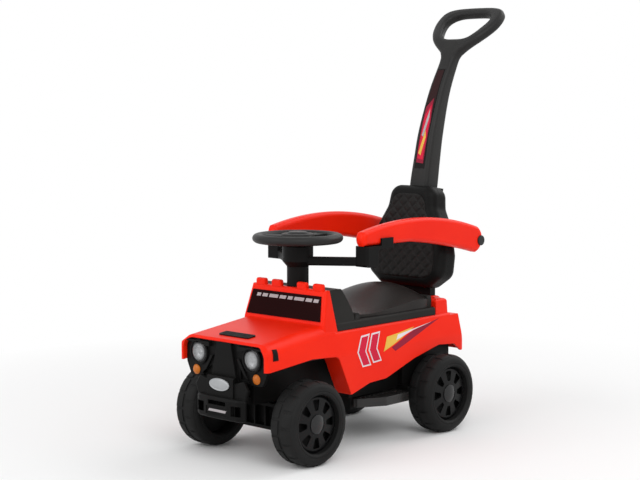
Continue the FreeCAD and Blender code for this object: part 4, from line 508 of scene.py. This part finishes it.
def quiltHalf(z):
    half = quilt["halves"][-1][1]
    for (lowZ, lowHalf), (highZ, highHalf) in zip(quilt["halves"], quilt["halves"][1:]):
        if lowZ <= z <= highZ:
            share = (z - lowZ) / (highZ - lowZ)
            share = share * share * (3 - 2 * share)  # an easy start and end
            half = lowHalf + (highHalf - lowHalf) * share
            break
    corner = quilt["corner"]
    near = min(z - quilt["low"], quilt["high"] - z)
    if near < corner:
        half -= corner - math.sqrt(max(0.0, corner ** 2 - (corner - near) ** 2))
    return half


def quiltDepth(u, y, z):
    near = 1.0
    for line in ((y + z) / quilt["pitch"], (y - z) / quilt["pitch"]):
        near = min(near, abs(line - round(line)))
    pillow = quilt["pillow"] * (1 - math.exp(-((near / quilt["seam"]) ** 2)))
    reach = max(abs(u) * 2, abs(z * 2 - quilt["high"] - quilt["low"]) / (quilt["high"] - quilt["low"]))
    rim = max(0.0, (reach - quilt["edgeShare"]) / (1 - quilt["edgeShare"]))
    return (quilt["thickness"] + pillow) * math.sqrt(max(0.0, 1 - rim ** 2))


def makeQuilt():
    bm = bmesh.new()
    bmesh.ops.create_grid(bm, x_segments=quilt["across"], y_segments=quilt["up"], size=0.5)
    for vert in bm.verts:
        u, v = vert.co.x, vert.co.y + 0.5
        z = quilt["low"] + v * (quilt["high"] - quilt["low"])
        y = 2 * u * quiltHalf(z)
        vert.co = (quiltDepth(u, y, z), y, z)
    border = [edge for edge in bm.edges if edge.is_boundary]
    for vert in vertsIn(bmesh.ops.extrude_edge_only(bm, edges=border)["geom"]):
        vert.co.x = -quilt["sunk"]
    bmesh.ops.holes_fill(bm, edges=[edge for edge in bm.edges if edge.is_boundary])
    leaning = Matrix.Rotation(math.radians(-quilt["lean"]), 3, "Y")
    bmesh.ops.rotate(bm, verts=bm.verts, cent=(0, 0, 0), matrix=leaning)
    bmesh.ops.translate(bm, verts=bm.verts, vec=quilt["back"])
    makePiece("backrestQuilt", bm, "root", "quiltGrain", quilt["sharp"])


makeQuilt()
print("quilt made")


# Push handle: one outline with a hole is rounded over, then bent along the handle's curve
pushHandle = {
    "spine": [(-0.1906, 0.443), (-0.1942, 0.467), (-0.2042, 0.519), (-0.2162, 0.573), (-0.2422, 0.650),
              (-0.2712, 0.708), (-0.2812, 0.731), (-0.2962, 0.757), (-0.3347, 0.789), (-0.3722, 0.8203)],
    "depths": [0.0400, 0.0430, 0.0410, 0.0390, 0.0330, 0.0280, 0.0250, 0.0215, 0.0215, 0.0215],
    "stemHalves": [0.0215, 0.0228, 0.0218, 0.0206, 0.0180, 0.0168],
    "loopAt": 7, "spineCuts": 10, "outlineCuts": 5, "round": 0.0085, "roundCuts": 6, "setIn": 0.0004,
    "probe": 0.002, "sharp": 50.0,
    "flare": [(-0.036, 0.0215), (-0.026, 0.0310), (-0.014, 0.0455), (-0.001, 0.0580), (0.016, 0.0685),
              (0.034, 0.0755), (0.051, 0.0790), (0.067, 0.0788), (0.081, 0.0750), (0.0910, 0.0650),
              (0.0965, 0.0482), (0.0985, 0.0274), (0.0990, 0.0)],
    "hole": [(-0.0015, 0.0), (-0.0009, 0.0180), (0.0034, 0.0315), (0.0140, 0.0410), (0.0310, 0.0482),
             (0.0480, 0.0530), (0.0620, 0.0525), (0.0715, 0.0455), (0.0770, 0.0330), (0.0786, 0.0170),
             (0.0788, 0.0)],
}


# A smooth line through every point
def smoothLine(points, cuts):
    padded = [points[0]] + list(points) + [points[-1]]
    line = []
    for before, start, end, after in zip(padded, padded[1:], padded[2:], padded[3:]):
        for k in range(cuts):
            t = k / cuts
            line.append(tuple(0.5 * (2 * b + (c - a) * t + (2 * a - 5 * b + 4 * c - d) * t ** 2
                                     + (3 * b - a - 3 * c + d) * t ** 3)
                              for a, b, c, d in zip(before, start, end, after)))
    return line + [tuple(points[-1])]


# The handle's curve seen from the side, with its depth along it
class Spine:
    def __init__(self):
        cuts = pushHandle["spineCuts"]
        bare = [(x, z, depth) for (x, z), depth in zip(pushHandle["spine"], pushHandle["depths"])]
        self.points = smoothLine(bare, cuts)
        self.along = [0.0]
        for start, end in zip(self.points, self.points[1:]):
            self.along.append(self.along[-1] + math.hypot(end[0] - start[0], end[1] - start[1]))
        self.knots = self.along[::cuts]

    def at(self, distance):
        k = max(i for i in range(len(self.along) - 1) if self.along[i] <= distance or i == 0)
        share = (distance - self.along[k]) / (self.along[k + 1] - self.along[k])
        return [a + (b - a) * share for a, b in zip(self.points[k], self.points[k + 1])]

    def halfDepth(self, distance):
        return self.at(distance)[2] / 2 - pushHandle["setIn"]

    def bend(self, distance, across, height):
        x, z = self.at(distance)[:2]
        ahead, behind = self.at(distance + pushHandle["probe"]), self.at(distance - pushHandle["probe"])
        way = Vector((ahead[0] - behind[0], 0.0, ahead[1] - behind[1])).normalized()
        facing = Vector((way.z, 0.0, -way.x))
        return Vector((x, 0.0, z)) + facing * height + Vector((0.0, across, 0.0))


def inward(ring, k):
    before, after = ring[k - 1], ring[(k + 1) % len(ring)]
    way = Vector((after[0] - before[0], after[1] - before[1])).normalized()
    return Vector((-way.y, way.x))


# A wall round an outline, rounded over at the back and the front; gives the two loops that the caps fill
def roundedWall(bm, ring, spine):
    rounding, cuts = pushHandle["round"], pushHandle["roundCuts"]
    rows = []
    for face in (-1, 1):
        for k in range(cuts + 1):
            angle = math.pi / 2 * (k if face > 0 else cuts - k) / cuts
            inset, drop = rounding * (1 - math.cos(angle)), rounding * (1 - math.sin(angle))
            row = []
            for i, (s, w) in enumerate(ring):
                place = Vector((s, w)) + inward(ring, i) * inset
                row.append((place.x, place.y, face * (spine.halfDepth(s) - drop)))
            rows.append(addLine(bm, row, closed=True))
    count = len(ring)
    for low, high in zip(rows, rows[1:]):
        for i in range(count):
            j = (i + 1) % count
            bm.faces.new((low[i], low[j], high[j], high[i]))
    return rows[0][count:], rows[-1][count:]


def makeHandle():
    spine = Spine()
    start = spine.knots[pushHandle["loopAt"]]
    stem = list(zip(spine.knots, pushHandle["stemHalves"]))
    flare = [(start + s, half) for s, half in pushHandle["flare"]]
    right = smoothLine(stem + flare, pushHandle["outlineCuts"])
    outer = [(s, -half) for s, half in right] + [(s, half) for s, half in reversed(right[:-1])]
    side = smoothLine([(start + s, half) for s, half in pushHandle["hole"]], pushHandle["outlineCuts"])
    hole = side + [(s, -half) for s, half in reversed(side[1:-1])]
    bm = bmesh.new()
    outerBack, outerFront = roundedWall(bm, outer, spine)
    holeBack, holeFront = roundedWall(bm, hole, spine)
    for edges in (outerFront + holeFront, outerBack + holeBack):
        bmesh.ops.triangle_fill(bm, edges=edges, use_beauty=True)
    for vert in bm.verts:
        vert.co = spine.bend(vert.co.x, vert.co.y, vert.co.z)
    piece = makePiece("handleForm", bm, "root", "handleGrain", pushHandle["sharp"])
    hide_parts("push_handle")


makeHandle()
print("handle made")


# Steering wheel: an oval rim, three spokes with a sunk face, and a cupped hub
helm = {
    "rim": 0.0735, "rimAcross": 0.0100, "rimUp": 0.0085, "rimCuts": 20, "steps": 72, "hubDrop": 0.0090,
    "spokes": 3, "spokeIn": 0.020, "spokeOut": 0.070, "spokeInHalf": 0.0165, "spokeOutHalf": 0.0125,
    "spokeUp": 0.0050, "spokeBevel": 0.0026, "bevelCuts": 3, "sunk": 0.0012, "sunkEdge": 0.0036,
    "sharp": 40.0,
    "hub": [(0.0053, -0.022), (0.011, -0.022), (0.011, -0.011), (0.027, -0.011), (0.031, -0.002),
            (0.031, 0.004), (0.0295, 0.0075), (0.026, 0.009), (0.0225, 0.009), (0.0215, 0.0082),
            (0.0205, 0.009), (0.0193, 0.009), (0.0193, 0.002), (0.0173, 0.002), (0.0173, -0.004),
            (0.0053, -0.004)],
}


def addSpoke(bm, turn):
    arm = bmesh.ops.create_cube(bm, size=1.0)["verts"]
    for vert in arm:
        reach, half = helm["spokeIn"], helm["spokeInHalf"]
        if vert.co.x > 0:
            reach, half = helm["spokeOut"], helm["spokeOutHalf"]
        vert.co = (reach, math.copysign(half, vert.co.y), math.copysign(helm["spokeUp"], vert.co.z))
    faces = {face for vert in arm for face in vert.link_faces}
    top = max(faces, key=lambda face: face.calc_center_median().z)
    bmesh.ops.inset_region(bm, faces=[top], thickness=helm["sunkEdge"], depth=0.0)
    bmesh.ops.translate(bm, verts=top.verts[:], vec=(0, 0, -helm["sunk"]))
    spoke = {vert for face in faces for vert in face.verts}
    bmesh.ops.rotate(bm, verts=list(spoke), cent=(0, 0, 0), matrix=Matrix.Rotation(turn, 3, "Z"))
    # the sunk face keeps the arm's own points, so its rim and the underside are rounded
    edges = {edge for vert in arm for edge in vert.link_edges if edge.other_vert(vert) in arm}
    bmesh.ops.bevel(bm, geom=list(edges), offset=helm["spokeBevel"], segments=helm["bevelCuts"], profile=0.5,
                    affect="EDGES", material=-1)


def makeHelm():
    low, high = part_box("steering_wheel")
    bm = bmesh.new()
    turns = [math.tau * k / helm["rimCuts"] for k in range(helm["rimCuts"])]
    rim = [(helm["rim"] + helm["rimAcross"] * math.cos(turn), helm["rimUp"] * math.sin(turn))
           for turn in turns]
    for section in (rim, helm["hub"]):
        line = addLine(bm, [(r, 0.0, z) for r, z in section], closed=True)
        spinLine(bm, line, (0, 0, 0), (0, 0, 1), helm["steps"])
    for k in range(helm["spokes"]):
        addSpoke(bm, math.pi + math.tau * k / helm["spokes"])
    centre = ((low.x + high.x) / 2, (low.y + high.y) / 2, high.z - helm["hubDrop"])
    bmesh.ops.translate(bm, verts=bm.verts, vec=centre)
    piece = makePiece("steeringHelm", bm, "steering", "handleGrain", helm["sharp"])
    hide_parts("steering_wheel")


makeHelm()
print("steering wheel made")


# Lamp bowls: a facetted bowl with a bulb in each headlamp
bowl = {
    "steps": 20, "sharp": 12.0,
    "section": [(0.0, -0.0010), (0.0035, -0.0010), (0.0045, -0.0022), (0.0080, -0.0020), (0.0140, 0.0006),
                (0.0180, 0.0023), (0.0189, 0.0024), (0.0189, -0.0024), (0.0, -0.0024)],
}


def makeLampBowls():
    low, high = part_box("headlamp_reflectors")
    middle = (low + high) / 2
    lampY = high.y - (high.z - low.z) / 2
    bm = bmesh.new()
    for side in sides.values():
        centre = Vector((middle.x, side * lampY, middle.z))
        line = addLine(bm, [centre + Vector((x, r, 0.0)) for r, x in bowl["section"]])
        spinLine(bm, line, centre, (1, 0, 0), bowl["steps"])
    piece = makePiece("lampBowls", bm, "root", "lampSilver", bowl["sharp"])
    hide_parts("headlamp_reflectors")


makeLampBowls()
print("lamp bowls made")


# Badge: a bare oval plate with a raised rim and a low crown
badge = {"cuts": 64, "rimEdge": 0.0020, "sunk": 0.0007, "crown": 0.0006, "bevel": 0.0005, "bevelCuts": 2,
         "sharp": 30.0}


def makeBadge():
    low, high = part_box("badge_plate")
    half = (high - low) / 2
    bm = bmesh.new()
    bmesh.ops.create_circle(bm, cap_ends=True, segments=badge["cuts"], radius=1.0)
    bmesh.ops.scale(bm, verts=bm.verts, vec=(half.y, half.z, 1.0))
    face = bm.faces[:][0]
    if face.normal.z < 0:
        face.normal_flip()
    solid = bmesh.ops.extrude_face_region(bm, geom=[face])["geom"]
    top = [item for item in solid if isinstance(item, bmesh.types.BMFace)][0]
    bmesh.ops.translate(bm, verts=top.verts[:], vec=(0, 0, half.x * 2))
    edges = top.edges[:]
    bmesh.ops.inset_region(bm, faces=[top], thickness=badge["rimEdge"], depth=0.0)
    bmesh.ops.translate(bm, verts=top.verts[:], vec=(0, 0, -badge["sunk"]))
    bmesh.ops.inset_region(bm, faces=[top], thickness=badge["rimEdge"], depth=badge["crown"])
    bmesh.ops.bevel(bm, geom=edges, offset=badge["bevel"], segments=badge["bevelCuts"], profile=0.5,
                    affect="EDGES", material=-1)
    upright = Matrix(((0, 0, 1), (1, 0, 0), (0, 1, 0)))
    bmesh.ops.rotate(bm, verts=bm.verts, cent=(0, 0, 0), matrix=upright)
    bmesh.ops.translate(bm, verts=bm.verts, vec=(low.x, 0, (low.z + high.z) / 2))
    piece = makePiece("badgeOval", bm, "root", "lampSilver", badge["sharp"])
    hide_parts("badge_plate")


makeBadge()
print("badge made")


# Rail ears: a rounded tab at each end of the rear rail shuts the slot between foot rest and wheel
ear = {"setBack": 0.0014, "thickness": 0.0014, "inner": 0.078, "outer": 0.106, "low": 0.0800, "high": 0.0960,
       "round": 0.0050, "roundCuts": 5, "bevel": 0.0003, "bevelCuts": 2, "bevelFrom": 80.0, "sharp": 35.0}


def makeRailEar(sideName, side):
    bm = bmesh.new()
    corners = bmesh.ops.create_cube(bm, size=1.0)["verts"]
    size = Vector((ear["thickness"], ear["outer"] - ear["inner"], ear["high"] - ear["low"]))
    bmesh.ops.scale(bm, verts=corners, vec=size)
    outer = [edge for edge in bm.edges if all(vert.co.y * side > 0 for vert in edge.verts)
             and abs(edge.verts[0].co.x - edge.verts[1].co.x) > ear["thickness"] / 2]
    bmesh.ops.bevel(bm, geom=outer, offset=ear["round"], segments=ear["roundCuts"], profile=0.5,
                    affect="EDGES", material=-1)
    rim = [edge for edge in bm.edges if edge.calc_face_angle() > math.radians(ear["bevelFrom"])]
    bmesh.ops.bevel(bm, geom=rim, offset=ear["bevel"], segments=ear["bevelCuts"], profile=0.5,
                    affect="EDGES", material=-1)
    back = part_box("footboard_" + sideName)[0].x - ear["setBack"]
    middle = (back, side * (ear["inner"] + ear["outer"]) / 2, (ear["low"] + ear["high"]) / 2)
    bmesh.ops.translate(bm, verts=bm.verts, vec=middle)
    makePiece("railEar_" + sideName, bm, "root", "blackSatin", ear["sharp"])


for sideName, side in sides.items():
    makeRailEar(sideName, side)
print("rail ears made")


# Camera and studio
studio = {
    "eye": (2.13883, 1.8842, 0.6409),
    "target": (0.08583, 0.0, 0.375),
    "sensor": 36.0,
    "lens": 83.98,
    "shiftX": -0.0148,
    "floorSize": 12.0,
    "floorColour": (0.90, 0.90, 0.90),
    "floorRoughness": 0.9,
    "fadeStart": 0.55,
    "fadeEnd": 1.25,
    "worldLight": 0.55,
    "lamps": [
        {"name": "keyLamp", "at": (1.6, 2.6, 2.6), "size": 2.4, "power": 58.0},
        {"name": "fillLamp", "at": (2.9, -0.9, 1.9), "size": 2.6, "power": 36.0},
        {"name": "rimLamp", "at": (-2.2, 0.6, 2.4), "size": 2.0, "power": 30.0},
    ],
}


def aim(thing, target):
    way = Vector(target) - thing.location
    thing.rotation_euler = way.to_track_quat("-Z", "Y").to_euler()


def setCamera():
    optics = bpy.data.cameras.new("photoCamera")
    camera = bpy.data.objects.new("photoCamera", optics)
    bpy.context.scene.collection.objects.link(camera)
    camera.location = studio["eye"]
    aim(camera, studio["target"])
    optics.sensor_width = studio["sensor"]
    optics.lens = studio["lens"]
    optics.shift_x = studio["shiftX"]
    bpy.context.scene.camera = camera


# 1 where the camera sees the surface, by itself or in a reflection or through a lens
def backgroundRays(finish):
    path = finish.add("ShaderNodeLightPath", out="Is Camera Ray")
    seen = path
    for kind in ("Is Glossy Ray", "Is Transmission Ray"):
        seen = seen.math("MAXIMUM", seen, path.output(kind))
    return seen


# The floor fades to plain white away from the object
def makeFloor():
    bm = bmesh.new()
    bmesh.ops.create_grid(bm, x_segments=1, y_segments=1, size=studio["floorSize"] / 2)
    mesh = bpy.data.meshes.new("studioFloor")
    bm.to_mesh(mesh)
    bm.free()
    floor = bpy.data.objects.new("studioFloor", mesh)
    bpy.context.scene.collection.objects.link(floor)
    finish = Finish("floorPaper")
    finish.set(colour=colour(*studio["floorColour"]), roughness=studio["floorRoughness"])
    reach = finish.add("ShaderNodeVectorMath", {"operation": "LENGTH"}, {0: finish.place()}, out="Value")
    fade = finish.ramp(reach, studio["fadeStart"], studio["fadeEnd"]) * backgroundRays(finish)
    glow = finish.add("ShaderNodeEmission", {}, {"Color": white, "Strength": 1.0})
    paper = Wire(finish, finish.shader.outputs[0])
    blend = finish.add("ShaderNodeMixShader", {}, {0: fade, 1: paper, 2: glow})
    finish.feed(finish.tree.nodes["Material Output"].inputs["Surface"], blend)
    mesh.materials.append(finish.material)


class Sky(Finish):
    def __init__(self):
        self.world = bpy.data.worlds.new("studioWorld")
        self.world.use_nodes = True
        self.tree = self.world.node_tree


def setLight():
    sky = Sky()
    bpy.context.scene.world = sky.world
    seen = backgroundRays(sky)
    background = sky.tree.nodes["Background"]
    sky.feed(background.inputs["Color"], white)
    sky.feed(background.inputs["Strength"], studio["worldLight"] + (1.0 - studio["worldLight"]) * seen)
    for settings in studio["lamps"]:
        light = bpy.data.lights.new(settings["name"], "AREA")
        light.size = settings["size"]
        light.energy = settings["power"]
        lamp = bpy.data.objects.new(settings["name"], light)
        bpy.context.scene.collection.objects.link(lamp)
        lamp.location = settings["at"]
        aim(lamp, studio["target"])
    bpy.context.scene.view_settings.view_transform = "Standard"


setCamera()
makeFloor()
setLight()
print("studio ready")
